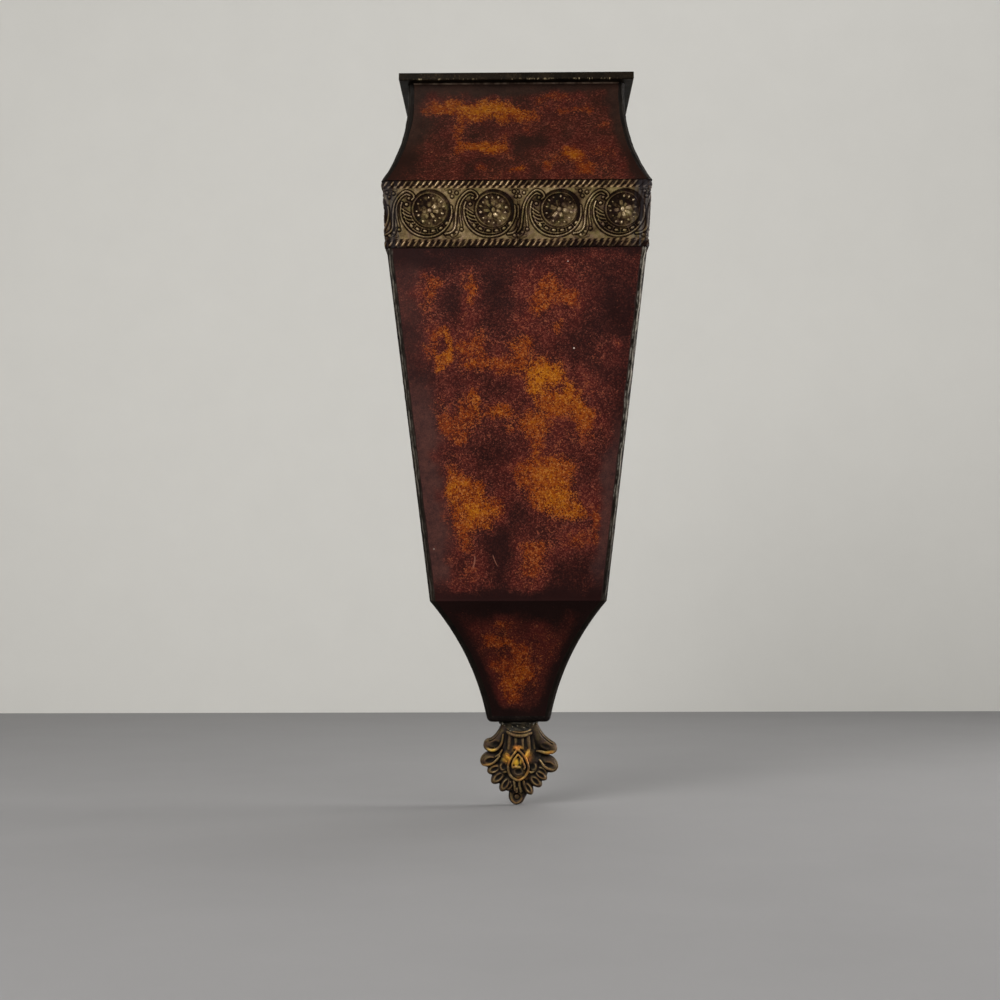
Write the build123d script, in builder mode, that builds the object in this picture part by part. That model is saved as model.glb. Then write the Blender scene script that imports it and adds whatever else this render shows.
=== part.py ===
from build123d import *
import os

os.makedirs("parts", exist_ok=True)

# Frame: +Z up, the front faces -Y, the wall is the plane Y = 0.
# The origin is the middle of the rim's back face.

# Heights (mm)
RIM_TOP = 2.8
NECK_TOP = -2.8
NECK_MID = -41.9
BAND_TOP = -81.0
BAND_BOT = -129.6
BODY_BOT = -383.3
TAIL_MID = -426.7
TAIL_BOT = -468.0
PAN_BOT = -472.5
COLLAR_BOT = -480.1
TIP = -535.0

# Outer half width and front depth of the sheet at those heights
NECK_W = [(79.6, NECK_TOP), (82.7, NECK_MID), (97.7, BAND_TOP)]
NECK_D = [(75.2, NECK_TOP), (79.2, NECK_MID), (94.7, BAND_TOP)]
BODY_W = [(96.3, BAND_TOP), (93.8, BAND_BOT), (64.0, BODY_BOT)]
BODY_D = [(93.3, BAND_TOP), (91.4, BAND_BOT), (66.0, BODY_BOT)]
TAIL_W = [(64.0, BODY_BOT), (37.0, TAIL_MID), (23.8, TAIL_BOT)]
TAIL_D = [(66.0, BODY_BOT), (45.85, TAIL_MID), (36.0, TAIL_BOT)]

T = 0.8  # sheet thickness
SEAM = 4.0  # side of a corner seam
SEAM_R = 3.5  # rounding of its outer edge
TRIM_BEND = 3.2  # inner bend of the trim where it turns the corner
BACK_Y = 7.0  # the back sheet is set in this far from the wall plane

RIM_W, RIM_D, RIM_BAR = 86.0, 82.0, 10.0
RIM_EDGE = 0.8

TRIM_FIELD, TRIM_RIB = 0.6, 1.5  # thickness of the trim's field and of its rope borders
RIB_H = 6.0
TRIM_END = 2.0  # the trim stops this far from the wall plane

AXIS_Y = -18.0  # finial axis
SCREW_R, SCREW_HOLE_R = 2.95, 3.0

PIN_Y, PIN_Z = -4.6, -45.0  # hinge line of the hanging ring
WIRE_R, BARREL_BORE_R, BARREL_R = 1.25, 1.33, 2.4
RING_HALF, RING_CORNER, RING_SIDE_BOT = 12.5, 3.0, -57.0
STRAP_HALF, STRAP_BOT, STRAP_T = 7.0, -71.0, 1.0
RIVET_Z = [-53.0, -61.0]
RIVET_R, RIVET_HOLE_R, RIVET_HEAD_R = 1.5, 1.55, 2.8

FAR = 130.0


def side(curve, inset, sign=1):
    """Points of a profile moved in by inset, on the right (sign 1) or left (sign -1)."""
    return [(sign * (v - inset), z) for v, z in curve]


def between(curve, z):
    """Value of a straight profile at height z."""
    (a, za), (b, zb) = curve
    return a + (b - a) * (z - za) / (zb - za)


def long_edges(part, z_low, z_high):
    """Rising edges of a seam between two heights, the outermost last."""
    found = [
        e
        for e in part.edges()
        if abs((e @ 0).Z - (e @ 1).Z) > 20 and z_low < (e @ 0.5).Z < z_high
    ]
    return sorted(found, key=lambda e: (e @ 0.5).X - (e @ 0.5).Y)


# ---------------------------------------------------------------- neck
with BuildPart() as neck_front:
    with BuildSketch(Plane.YZ):
        with BuildLine():
            outer = ThreePointArc(*side(NECK_D, 0, -1))
            inner = ThreePointArc(*side(NECK_D, T, -1))
            Line(outer @ 0, inner @ 0)
            Line(outer @ 1, inner @ 1)
        make_face()
    extrude(amount=FAR, both=True)
    with BuildSketch(Plane.XZ):
        with BuildLine():
            outer = ThreePointArc(*side(NECK_W, SEAM))
            inner = ThreePointArc(*side(NECK_W, SEAM, -1))
            Line(outer @ 0, inner @ 0)
            Line(outer @ 1, inner @ 1)
        make_face()
    extrude(amount=FAR, mode=Mode.INTERSECT)

with BuildPart() as neck_right:
    with BuildSketch(Plane.XZ):
        with BuildLine():
            outer = ThreePointArc(*side(NECK_W, 0))
            inner = ThreePointArc(*side(NECK_W, T))
            Line(outer @ 0, inner @ 0)
            Line(outer @ 1, inner @ 1)
        make_face()
    extrude(amount=FAR)
    with BuildSketch(Plane.YZ):
        with BuildLine():
            outer = ThreePointArc(*side(NECK_D, SEAM, -1))
            Polyline(outer @ 0, (0, NECK_TOP), (0, BAND_TOP), outer @ 1)
        make_face()
    extrude(amount=FAR, mode=Mode.INTERSECT)

with BuildPart() as neck_left:
    mirror(neck_right.part, about=Plane.YZ)

with BuildPart() as neck_seam_right:
    with BuildSketch(Plane.XZ):
        with BuildLine():
            outer = ThreePointArc(*side(NECK_W, 0))
            inner = ThreePointArc(*side(NECK_W, SEAM))
            Line(outer @ 0, inner @ 0)
            Line(outer @ 1, inner @ 1)
        make_face()
    extrude(amount=FAR)
    with BuildSketch(Plane.YZ):
        with BuildLine():
            outer = ThreePointArc(*side(NECK_D, 0, -1))
            inner = ThreePointArc(*side(NECK_D, SEAM, -1))
            Line(outer @ 0, inner @ 0)
            Line(outer @ 1, inner @ 1)
        make_face()
    extrude(amount=FAR, mode=Mode.INTERSECT)
    fillet(long_edges(neck_seam_right.part, BAND_TOP, NECK_TOP)[-1], SEAM_R)

with BuildPart() as neck_seam_left:
    mirror(neck_seam_right.part, about=Plane.YZ)

# ---------------------------------------------------------------- body
with BuildPart() as body_front:
    with BuildSketch(Plane.YZ):
        with BuildLine():
            Polyline(*side(BODY_D, 0, -1), *reversed(side(BODY_D, T, -1)), close=True)
        make_face()
    extrude(amount=FAR, both=True)
    with BuildSketch(Plane.XZ):
        with BuildLine():
            Polyline(
                *side(BODY_W, SEAM), *reversed(side(BODY_W, SEAM, -1)), close=True
            )
        make_face()
    extrude(amount=FAR, mode=Mode.INTERSECT)

with BuildPart() as body_right:
    with BuildSketch(Plane.XZ):
        with BuildLine():
            Polyline(*side(BODY_W, 0), *reversed(side(BODY_W, T)), close=True)
        make_face()
    extrude(amount=FAR)
    with BuildSketch(Plane.YZ):
        with BuildLine():
            Polyline(
                *side(BODY_D, SEAM, -1), (0, BODY_BOT), (0, BAND_TOP), close=True
            )
        make_face()
    extrude(amount=FAR, mode=Mode.INTERSECT)

with BuildPart() as body_left:
    mirror(body_right.part, about=Plane.YZ)

with BuildPart() as body_seam_right:
    for (w, z), (d, _) in zip(BODY_W, BODY_D):
        with BuildSketch(Plane.XY.offset(z)) as section:
            with Locations((w - SEAM / 2, -d + SEAM / 2)):
                Rectangle(SEAM, SEAM)
            fillet(section.vertices().sort_by(lambda v: v.X - v.Y)[-1], SEAM_R)
    loft(ruled=True)

with BuildPart() as body_seam_left:
    mirror(body_seam_right.part, about=Plane.YZ)

# ---------------------------------------------------------------- tail
with BuildPart() as tail_front:
    with BuildSketch(Plane.YZ):
        with BuildLine():
            outer = ThreePointArc(*side(TAIL_D, 0, -1))
            inner = ThreePointArc(*side(TAIL_D, T, -1))
            Line(outer @ 0, inner @ 0)
            Line(outer @ 1, inner @ 1)
        make_face()
    extrude(amount=FAR, both=True)
    with BuildSketch(Plane.XZ):
        with BuildLine():
            outer = ThreePointArc(*side(TAIL_W, SEAM))
            inner = ThreePointArc(*side(TAIL_W, SEAM, -1))
            Line(outer @ 0, inner @ 0)
            Line(outer @ 1, inner @ 1)
        make_face()
    extrude(amount=FAR, mode=Mode.INTERSECT)

with BuildPart() as tail_right:
    with BuildSketch(Plane.XZ):
        with BuildLine():
            outer = ThreePointArc(*side(TAIL_W, 0))
            inner = ThreePointArc(*side(TAIL_W, T))
            Line(outer @ 0, inner @ 0)
            Line(outer @ 1, inner @ 1)
        make_face()
    extrude(amount=FAR)
    with BuildSketch(Plane.YZ):
        with BuildLine():
            outer = ThreePointArc(*side(TAIL_D, SEAM, -1))
            Polyline(outer @ 0, (0, BODY_BOT), (0, TAIL_BOT), outer @ 1)
        make_face()
    extrude(amount=FAR, mode=Mode.INTERSECT)

with BuildPart() as tail_left:
    mirror(tail_right.part, about=Plane.YZ)

with BuildPart() as tail_seam_right:
    with BuildSketch(Plane.XZ):
        with BuildLine():
            outer = ThreePointArc(*side(TAIL_W, 0))
            inner = ThreePointArc(*side(TAIL_W, SEAM))
            Line(outer @ 0, inner @ 0)
            Line(outer @ 1, inner @ 1)
        make_face()
    extrude(amount=FAR)
    with BuildSketch(Plane.YZ):
        with BuildLine():
            outer = ThreePointArc(*side(TAIL_D, 0, -1))
            inner = ThreePointArc(*side(TAIL_D, SEAM, -1))
            Line(outer @ 0, inner @ 0)
            Line(outer @ 1, inner @ 1)
        make_face()
    extrude(amount=FAR, mode=Mode.INTERSECT)
    fillet(long_edges(tail_seam_right.part, TAIL_BOT, BODY_BOT)[-1], SEAM_R)

with BuildPart() as tail_seam_left:
    mirror(tail_seam_right.part, about=Plane.YZ)

# ---------------------------------------------------------------- back sheet
with BuildPart() as back_panel:
    with BuildSketch(Plane.XZ.offset(BACK_Y)):
        with BuildLine():
            ThreePointArc(*side(NECK_W, T))
            Line((NECK_W[-1][0] - T, BAND_TOP), (BODY_W[0][0] - T, BAND_TOP))
            Polyline(*side(BODY_W, T))
            ThreePointArc(*side(TAIL_W, T))
            Line((TAIL_W[-1][0] - T, TAIL_BOT), (0, TAIL_BOT))
            Line((NECK_W[0][0] - T, NECK_TOP), (0, NECK_TOP))
            mirror(about=Plane.YZ)
        make_face()
        with Locations((0, RIVET_Z[0]), (0, RIVET_Z[1])):
            Circle(RIVET_HOLE_R, mode=Mode.SUBTRACT)
    extrude(amount=T)

# ---------------------------------------------------------------- rim, four mitred bars
with BuildPart() as rim_front:
    with BuildSketch(Plane.XY.offset(NECK_TOP)):
        with BuildLine():
            Polyline(
                (-RIM_W, -RIM_D),
                (RIM_W, -RIM_D),
                (RIM_W - RIM_BAR, -RIM_D + RIM_BAR),
                (-RIM_W + RIM_BAR, -RIM_D + RIM_BAR),
                close=True,
            )
        make_face()
    extrude(amount=RIM_TOP - NECK_TOP)
    fillet(rim_front.edges().filter_by(Axis.X), RIM_EDGE)

with BuildPart() as rim_back:
    with BuildSketch(Plane.XY.offset(NECK_TOP)):
        with BuildLine():
            Polyline(
                (-RIM_W, 0),
                (RIM_W, 0),
                (RIM_W - RIM_BAR, -RIM_BAR),
                (-RIM_W + RIM_BAR, -RIM_BAR),
                close=True,
            )
        make_face()
    extrude(amount=RIM_TOP - NECK_TOP)
    fillet(rim_back.edges().filter_by(Axis.X), RIM_EDGE)

with BuildPart() as rim_right:
    with BuildSketch(Plane.XY.offset(NECK_TOP)):
        with BuildLine():
            Polyline(
                (RIM_W, 0),
                (RIM_W, -RIM_D),
                (RIM_W - RIM_BAR, -RIM_D + RIM_BAR),
                (RIM_W - RIM_BAR, -RIM_BAR),
                close=True,
            )
        make_face()
    extrude(amount=RIM_TOP - NECK_TOP)
    fillet(rim_right.edges().filter_by(Axis.Y), RIM_EDGE)

with BuildPart() as rim_left:
    mirror(rim_right.part, about=Plane.YZ)

# ---------------------------------------------------------------- trim, two stamped halves
# Each course is lofted between two L-shaped sections: half the front, round the
# corner and back along the side. The rope borders stand out from the field.
COURSES = [
    (BAND_BOT, BAND_BOT + RIB_H, TRIM_RIB),
    (BAND_BOT + RIB_H, BAND_TOP - RIB_H, TRIM_FIELD),
    (BAND_TOP - RIB_H, BAND_TOP, TRIM_RIB),
]
with BuildPart() as trim_right:
    for low, high, proud in COURSES:
        for z in (low, high):
            with BuildSketch(Plane.XY.offset(z)) as section:
                with BuildLine():
                    w, d = between(BODY_W[:2], z), between(BODY_D[:2], z)
                    Polyline(
                        (0, -d),
                        (w, -d),
                        (w, -TRIM_END),
                        (w + proud, -TRIM_END),
                        (w + proud, -d - proud),
                        (0, -d - proud),
                        close=True,
                    )
                make_face()
                corners = section.vertices().sort_by(lambda v: v.X - v.Y)
                fillet(corners[-1], TRIM_BEND + proud)
                corners = section.vertices().filter_by(
                    lambda v: abs(v.X - w) < 0.01 and abs(v.Y + d) < 0.01
                )
                fillet(corners, TRIM_BEND)
        loft(ruled=True)

with BuildPart() as trim_left:
    mirror(trim_right.part, about=Plane.YZ)

# ---------------------------------------------------------------- bottom pan
PAN_W, PAN_D, PAN_CORNER, PAN_EDGE = TAIL_W[-1][0], TAIL_D[-1][0], 4.6, 4.2
with BuildPart() as floor_pan:
    with BuildSketch(Plane.XY.offset(PAN_BOT)) as section:
        with Locations((0, -PAN_D / 2)):
            Rectangle(2 * PAN_W, PAN_D)
        fillet(section.vertices().group_by(Axis.Y)[0], PAN_CORNER)
    extrude(amount=TAIL_BOT - PAN_BOT)
    fillet(
        floor_pan.edges()
        .group_by(Axis.Z)[0]
        .filter_by(lambda e: (e @ 0.5).Y < -0.01),
        PAN_EDGE,
    )
    offset(amount=-T, openings=floor_pan.faces().sort_by(Axis.Z)[-1], kind=Kind.INTERSECTION)
    with BuildSketch(Plane.XY.offset(PAN_BOT)):
        with Locations((0, AXIS_Y)):
            Circle(SCREW_HOLE_R + 0.2)
    extrude(amount=T, mode=Mode.SUBTRACT)

# ---------------------------------------------------------------- collar, finial and their screw
AXIS_PLANE = Plane(origin=(0, AXIS_Y, 0), x_dir=(1, 0, 0), z_dir=(0, -1, 0))
FINIAL_AXIS = Axis((0, AXIS_Y, 0), (0, 0, 1))

with BuildPart() as finial_collar:
    with BuildSketch(AXIS_PLANE):
        with BuildLine():
            waist = ThreePointArc((14.6, PAN_BOT - 1.6), (13.5, -476.6), (13.9, COLLAR_BOT))
            Polyline(
                waist @ 0,
                (14.6, PAN_BOT),
                (SCREW_HOLE_R + 0.2, PAN_BOT),
                (SCREW_HOLE_R + 0.2, COLLAR_BOT),
                waist @ 1,
            )
        make_face()
    revolve(axis=FINIAL_AXIS)

# The casting: a leafy bulb, flatter front to back than across, under a round lip.
# (height, half width, half depth)
BULB = [
    (-484.0, 13.0, 12.0),
    (-488.5, 17.5, 13.5),
    (-493.0, 24.5, 15.5),
    (-499.0, 26.5, 16.5),
    (-505.5, 26.8, 16.5),
    (-512.0, 22.5, 14.5),
    (-519.5, 15.0, 11.0),
    (-526.5, 9.5, 8.0),
    (-532.0, 6.0, 5.5),
    (TIP, 2.5, 2.5),
]
with BuildPart() as finial:
    for z, a, b in BULB:
        with BuildSketch(Plane.XY.offset(z)):
            with Locations((0, AXIS_Y)):
                Ellipse(a, b)
    loft()
    with BuildSketch(AXIS_PLANE):
        with BuildLine():
            lip = ThreePointArc((14.2, COLLAR_BOT), (15.4, -482.2), (13.0, -485.0))
            Polyline(lip @ 1, (0, -485.0), (0, COLLAR_BOT), lip @ 0)
        make_face()
    revolve(axis=FINIAL_AXIS)
    # side curls and lobes, and the cabochon on the front
    with Locations((22.5, AXIS_Y, -492.5), (-22.5, AXIS_Y, -492.5)):
        Sphere(5.6)
    with Locations((22.5, AXIS_Y, -504.5), (-22.5, AXIS_Y, -504.5)):
        Sphere(5.6)
    with Locations((0, AXIS_Y - 11.5, -499.0)):
        Sphere(6.5)
    with BuildSketch(Plane.XY.offset(COLLAR_BOT)):
        with Locations((0, AXIS_Y)):
            Circle(SCREW_HOLE_R)
    extrude(amount=-22, mode=Mode.SUBTRACT)

WASHER_R, WASHER_T, HEAD_R, HEAD_H = 8.0, 1.2, 5.0, 3.6
PAN_FLOOR = PAN_BOT + T
with BuildPart() as finial_washer:
    with BuildSketch(Plane.XY.offset(PAN_FLOOR)):
        with Locations((0, AXIS_Y)):
            Circle(WASHER_R)
            Circle(SCREW_HOLE_R + 0.2, mode=Mode.SUBTRACT)
    extrude(amount=WASHER_T)

with BuildPart() as finial_screw:
    with BuildSketch(Plane.XY.offset(PAN_FLOOR + WASHER_T)):
        with Locations((0, AXIS_Y)):
            Circle(HEAD_R)
    extrude(amount=HEAD_H)
    fillet(finial_screw.edges().group_by(Axis.Z)[-1], 1.2)
    with BuildSketch(Plane.XY.offset(PAN_FLOOR + WASHER_T + HEAD_H)):
        with Locations((0, AXIS_Y)):
            Rectangle(12, 1.2)
    extrude(amount=-1.6, mode=Mode.SUBTRACT)
    with BuildSketch(Plane.XY.offset(PAN_FLOOR + WASHER_T)):
        with Locations((0, AXIS_Y)):
            Circle(SCREW_R)
    extrude(amount=-(PAN_FLOOR + WASHER_T - COLLAR_BOT + 20.0))

# ---------------------------------------------------------------- hanging hardware
PIN_PLANE = Plane.YZ.offset(-STRAP_HALF)
with BuildPart() as hanger_strap:
    with BuildSketch(Plane.XZ.offset(BACK_Y)) as leaf:
        with BuildLine():
            Polyline(
                (-STRAP_HALF, PIN_Z),
                (STRAP_HALF, PIN_Z),
                (STRAP_HALF, STRAP_BOT),
                (-STRAP_HALF, STRAP_BOT),
                close=True,
            )
        make_face()
        fillet(leaf.vertices().group_by(Axis.Y)[0], 3.0)
        with Locations((0, RIVET_Z[0]), (0, RIVET_Z[1])):
            Circle(RIVET_HOLE_R, mode=Mode.SUBTRACT)
    extrude(amount=-STRAP_T)
    with BuildSketch(PIN_PLANE):
        with Locations((PIN_Y, PIN_Z)):
            Circle(BARREL_R)
    extrude(amount=2 * STRAP_HALF)
    with BuildSketch(PIN_PLANE):
        with Locations((PIN_Y, PIN_Z)):
            Circle(BARREL_BORE_R)
    extrude(amount=2 * STRAP_HALF, mode=Mode.SUBTRACT)

with BuildPart() as hanger_ring:
    with BuildLine(Plane.XZ.offset(-PIN_Y)) as loop:
        bar = Line((-RING_HALF + RING_CORNER, PIN_Z), (RING_HALF - RING_CORNER, PIN_Z))
        turn_r = TangentArc(bar @ 1, (RING_HALF, PIN_Z - RING_CORNER), tangent=bar % 1)
        leg_r = Line(turn_r @ 1, (RING_HALF, RING_SIDE_BOT))
        bow = TangentArc(leg_r @ 1, (-RING_HALF, RING_SIDE_BOT), tangent=leg_r % 1)
        leg_l = Line(bow @ 1, (-RING_HALF, PIN_Z - RING_CORNER))
        TangentArc(leg_l @ 1, bar @ 0, tangent=leg_l % 1)
    with BuildSketch(Plane.YZ.offset(-RING_HALF + RING_CORNER)):
        with Locations((PIN_Y, PIN_Z)):
            Circle(WIRE_R)
    sweep()

# Each rivet is turned: a shallow dome outside, a flat upset head inside.
RIVET_OUT, RIVET_IN, UPSET_H, UPSET_R = -BACK_Y + STRAP_T, -BACK_Y - T, 0.7, 2.3
with BuildPart() as rivet_upper:
    with Locations(Plane(origin=(0, RIVET_IN - UPSET_H, RIVET_Z[0]), z_dir=(0, 1, 0))):
        Cylinder(UPSET_R, UPSET_H, align=(Align.CENTER, Align.CENTER, Align.MIN))
    with Locations(Plane(origin=(0, RIVET_IN, RIVET_Z[0]), z_dir=(0, 1, 0))):
        Cylinder(RIVET_R, RIVET_OUT - RIVET_IN, align=(Align.CENTER, Align.CENTER, Align.MIN))
    with Locations(Plane(origin=(0, RIVET_OUT, RIVET_Z[0]), z_dir=(0, 1, 0))):
        Cylinder(RIVET_HEAD_R, 1.1, align=(Align.CENTER, Align.CENTER, Align.MIN))
    fillet(rivet_upper.edges().group_by(Axis.Y)[-1], 0.9)

with BuildPart() as rivet_lower:
    with Locations(Plane(origin=(0, RIVET_IN - UPSET_H, RIVET_Z[1]), z_dir=(0, 1, 0))):
        Cylinder(UPSET_R, UPSET_H, align=(Align.CENTER, Align.CENTER, Align.MIN))
    with Locations(Plane(origin=(0, RIVET_IN, RIVET_Z[1]), z_dir=(0, 1, 0))):
        Cylinder(RIVET_R, RIVET_OUT - RIVET_IN, align=(Align.CENTER, Align.CENTER, Align.MIN))
    with Locations(Plane(origin=(0, RIVET_OUT, RIVET_Z[1]), z_dir=(0, 1, 0))):
        Cylinder(RIVET_HEAD_R, 1.1, align=(Align.CENTER, Align.CENTER, Align.MIN))
    fillet(rivet_lower.edges().group_by(Axis.Y)[-1], 0.9)

# ---------------------------------------------------------------- write each piece
neck_front.part.label = "neck_front"
export_step(neck_front.part, "parts/neck_front.step")
neck_left.part.label = "neck_left"
export_step(neck_left.part, "parts/neck_left.step")
neck_right.part.label = "neck_right"
export_step(neck_right.part, "parts/neck_right.step")
neck_seam_left.part.label = "neck_seam_left"
export_step(neck_seam_left.part, "parts/neck_seam_left.step")
neck_seam_right.part.label = "neck_seam_right"
export_step(neck_seam_right.part, "parts/neck_seam_right.step")
body_front.part.label = "body_front"
export_step(body_front.part, "parts/body_front.step")
body_left.part.label = "body_left"
export_step(body_left.part, "parts/body_left.step")
body_right.part.label = "body_right"
export_step(body_right.part, "parts/body_right.step")
body_seam_left.part.label = "body_seam_left"
export_step(body_seam_left.part, "parts/body_seam_left.step")
body_seam_right.part.label = "body_seam_right"
export_step(body_seam_right.part, "parts/body_seam_right.step")
tail_front.part.label = "tail_front"
export_step(tail_front.part, "parts/tail_front.step")
tail_left.part.label = "tail_left"
export_step(tail_left.part, "parts/tail_left.step")
tail_right.part.label = "tail_right"
export_step(tail_right.part, "parts/tail_right.step")
tail_seam_left.part.label = "tail_seam_left"
export_step(tail_seam_left.part, "parts/tail_seam_left.step")
tail_seam_right.part.label = "tail_seam_right"
export_step(tail_seam_right.part, "parts/tail_seam_right.step")
back_panel.part.label = "back_panel"
export_step(back_panel.part, "parts/back_panel.step")
rim_front.part.label = "rim_front"
export_step(rim_front.part, "parts/rim_front.step")
rim_back.part.label = "rim_back"
export_step(rim_back.part, "parts/rim_back.step")
rim_left.part.label = "rim_left"
export_step(rim_left.part, "parts/rim_left.step")
rim_right.part.label = "rim_right"
export_step(rim_right.part, "parts/rim_right.step")
trim_left.part.label = "trim_left"
export_step(trim_left.part, "parts/trim_left.step")
trim_right.part.label = "trim_right"
export_step(trim_right.part, "parts/trim_right.step")
floor_pan.part.label = "floor_pan"
export_step(floor_pan.part, "parts/floor_pan.step")
finial_collar.part.label = "finial_collar"
export_step(finial_collar.part, "parts/finial_collar.step")
finial.part.label = "finial"
export_step(finial.part, "parts/finial.step")
finial_washer.part.label = "finial_washer"
export_step(finial_washer.part, "parts/finial_washer.step")
finial_screw.part.label = "finial_screw"
export_step(finial_screw.part, "parts/finial_screw.step")
hanger_strap.part.label = "hanger_strap"
export_step(hanger_strap.part, "parts/hanger_strap.step")
hanger_ring.part.label = "hanger_ring"
export_step(hanger_ring.part, "parts/hanger_ring.step")
rivet_upper.part.label = "rivet_upper"
export_step(rivet_upper.part, "parts/rivet_upper.step")
rivet_lower.part.label = "rivet_lower"
export_step(rivet_lower.part, "parts/rivet_lower.step")
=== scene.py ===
import math

import bpy
import numpy as np
from mathutils import Matrix, Vector


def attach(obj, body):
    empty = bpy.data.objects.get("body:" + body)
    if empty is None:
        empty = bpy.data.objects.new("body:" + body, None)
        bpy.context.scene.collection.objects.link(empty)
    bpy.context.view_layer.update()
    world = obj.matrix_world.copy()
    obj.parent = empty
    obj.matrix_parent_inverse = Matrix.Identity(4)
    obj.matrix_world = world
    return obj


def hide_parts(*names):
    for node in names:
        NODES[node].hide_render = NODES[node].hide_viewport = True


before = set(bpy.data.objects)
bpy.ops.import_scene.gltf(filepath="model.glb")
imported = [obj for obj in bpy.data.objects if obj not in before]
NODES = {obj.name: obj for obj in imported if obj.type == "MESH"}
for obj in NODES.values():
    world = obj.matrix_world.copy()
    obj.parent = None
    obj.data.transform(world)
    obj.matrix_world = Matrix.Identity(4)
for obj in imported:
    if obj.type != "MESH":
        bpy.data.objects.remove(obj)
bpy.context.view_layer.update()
scene = bpy.context.scene
MM = 0.001

# ------------------------------------------------------------ sheet metal (mm), as built in CAD
RIM_TOP, NECK_TOP, NECK_MID = 2.8, -2.8, -41.9
BAND_TOP, BAND_BOT, BODY_BOT = -81.0, -129.6, -383.3
TAIL_MID, TAIL_BOT, PAN_BOT, COLLAR_BOT, TIP = -426.7, -468.0, -472.5, -480.1, -535.0
NECK_W = [(79.6, NECK_TOP), (82.7, NECK_MID), (97.7, BAND_TOP)]
NECK_D = [(75.2, NECK_TOP), (79.2, NECK_MID), (94.7, BAND_TOP)]
BODY_W = [(96.3, BAND_TOP), (93.8, BAND_BOT), (64.0, BODY_BOT)]
BODY_D = [(93.3, BAND_TOP), (91.4, BAND_BOT), (66.0, BODY_BOT)]
TAIL_W = [(64.0, BODY_BOT), (37.0, TAIL_MID), (23.8, TAIL_BOT)]
TAIL_D = [(66.0, BODY_BOT), (45.85, TAIL_MID), (36.0, TAIL_BOT)]
SHEET, SEAM, SEAM_R = 0.8, 4.0, 3.5
BEND, TRIM_END = 3.2, 2.0
AXIS_Y = -18.0


def circle_profile(points):
    """Circle through three (value, height) points, as a function of height."""
    (x1, z1), (x2, z2), (x3, z3) = points
    a = 2.0 * np.array([[x2 - x1, z2 - z1], [x3 - x1, z3 - z1]])
    b = np.array(
        [x2**2 - x1**2 + z2**2 - z1**2, x3**2 - x1**2 + z3**2 - z1**2]
    )
    cx, cz = np.linalg.solve(a, b)
    r = math.hypot(x1 - cx, z1 - cz)
    sign = 1.0 if x2 > cx else -1.0
    return lambda z: cx + sign * np.sqrt(
        np.maximum(r * r - (np.asarray(z, float) - cz) ** 2, 0.0)
    )


def straight_profile(points):
    zs, vs = [z for _, z in reversed(points)], [v for v, _ in reversed(points)]
    return lambda z: np.interp(z, zs, vs)


TIERS = {
    "neck": (NECK_TOP, BAND_TOP, circle_profile(NECK_W), circle_profile(NECK_D)),
    "body": (BAND_TOP, BODY_BOT, straight_profile(BODY_W), straight_profile(BODY_D)),
    "tail": (BODY_BOT, TAIL_BOT, circle_profile(TAIL_W), circle_profile(TAIL_D)),
}


# ------------------------------------------------------------ small numeric tools
def smooth(a, b, v):
    t = np.clip((np.asarray(v, float) - a) / (b - a), 0.0, 1.0)
    return t * t * (3.0 - 2.0 * t)


def value_noise(u, v, seed):
    table = np.random.RandomState(seed).rand(64, 64)
    iu, iv = np.floor(u).astype(int), np.floor(v).astype(int)
    fu, fv = u - iu, v - iv
    fu = fu**3 * (fu * (fu * 6 - 15) + 10)
    fv = fv**3 * (fv * (fv * 6 - 15) + 10)
    a, b = table[iu % 64, iv % 64], table[(iu + 1) % 64, iv % 64]
    c, d = table[iu % 64, (iv + 1) % 64], table[(iu + 1) % 64, (iv + 1) % 64]
    return (a * (1 - fu) + b * fu) * (1 - fv) + (c * (1 - fu) + d * fu) * fv


def fbm(u, v, seed, octaves=4, gain=0.5):
    total, amp, norm = 0.0, 1.0, 0.0
    for k in range(octaves):
        total = total + amp * value_noise(u * 2**k + 17.3 * k, v * 2**k + 9.1 * k, seed + k)
        norm += amp
        amp *= gain
    return total / norm


def box_blur(a, radius, axis):
    """Mean over 2*radius+1 samples along one axis, edges held."""
    pad = [(0, 0)] * a.ndim
    pad[axis] = (radius + 1, radius)
    c = np.cumsum(np.pad(a, pad, mode="edge"), axis=axis, dtype=np.float64)
    n = a.shape[axis]
    hi = np.take(c, np.arange(2 * radius + 1, 2 * radius + 1 + n), axis=axis)
    lo = np.take(c, np.arange(0, n), axis=axis)
    return (hi - lo) / (2 * radius + 1)


def blur(a, radius, passes=2):
    for _ in range(passes):
        for axis in range(a.ndim):
            a = box_blur(a, radius, axis)
    return a


def curve_through(points, per=8):
    """Catmull-Rom line through the points."""
    p = np.asarray(points, float)
    p = np.vstack([2 * p[0] - p[1], p, 2 * p[-1] - p[-2]])
    out = []
    for i in range(1, len(p) - 2):
        t = np.linspace(0, 1, per, endpoint=False)[:, None]
        a, b, c, d = p[i - 1], p[i], p[i + 1], p[i + 2]
        out.append(
            0.5
            * (
                2 * b
                + (c - a) * t
                + (2 * a - 5 * b + 4 * c - d) * t**2
                + (3 * b - a - 3 * c + d) * t**3
            )
        )
    out.append(p[-2][None])
    return np.vstack(out)


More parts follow.
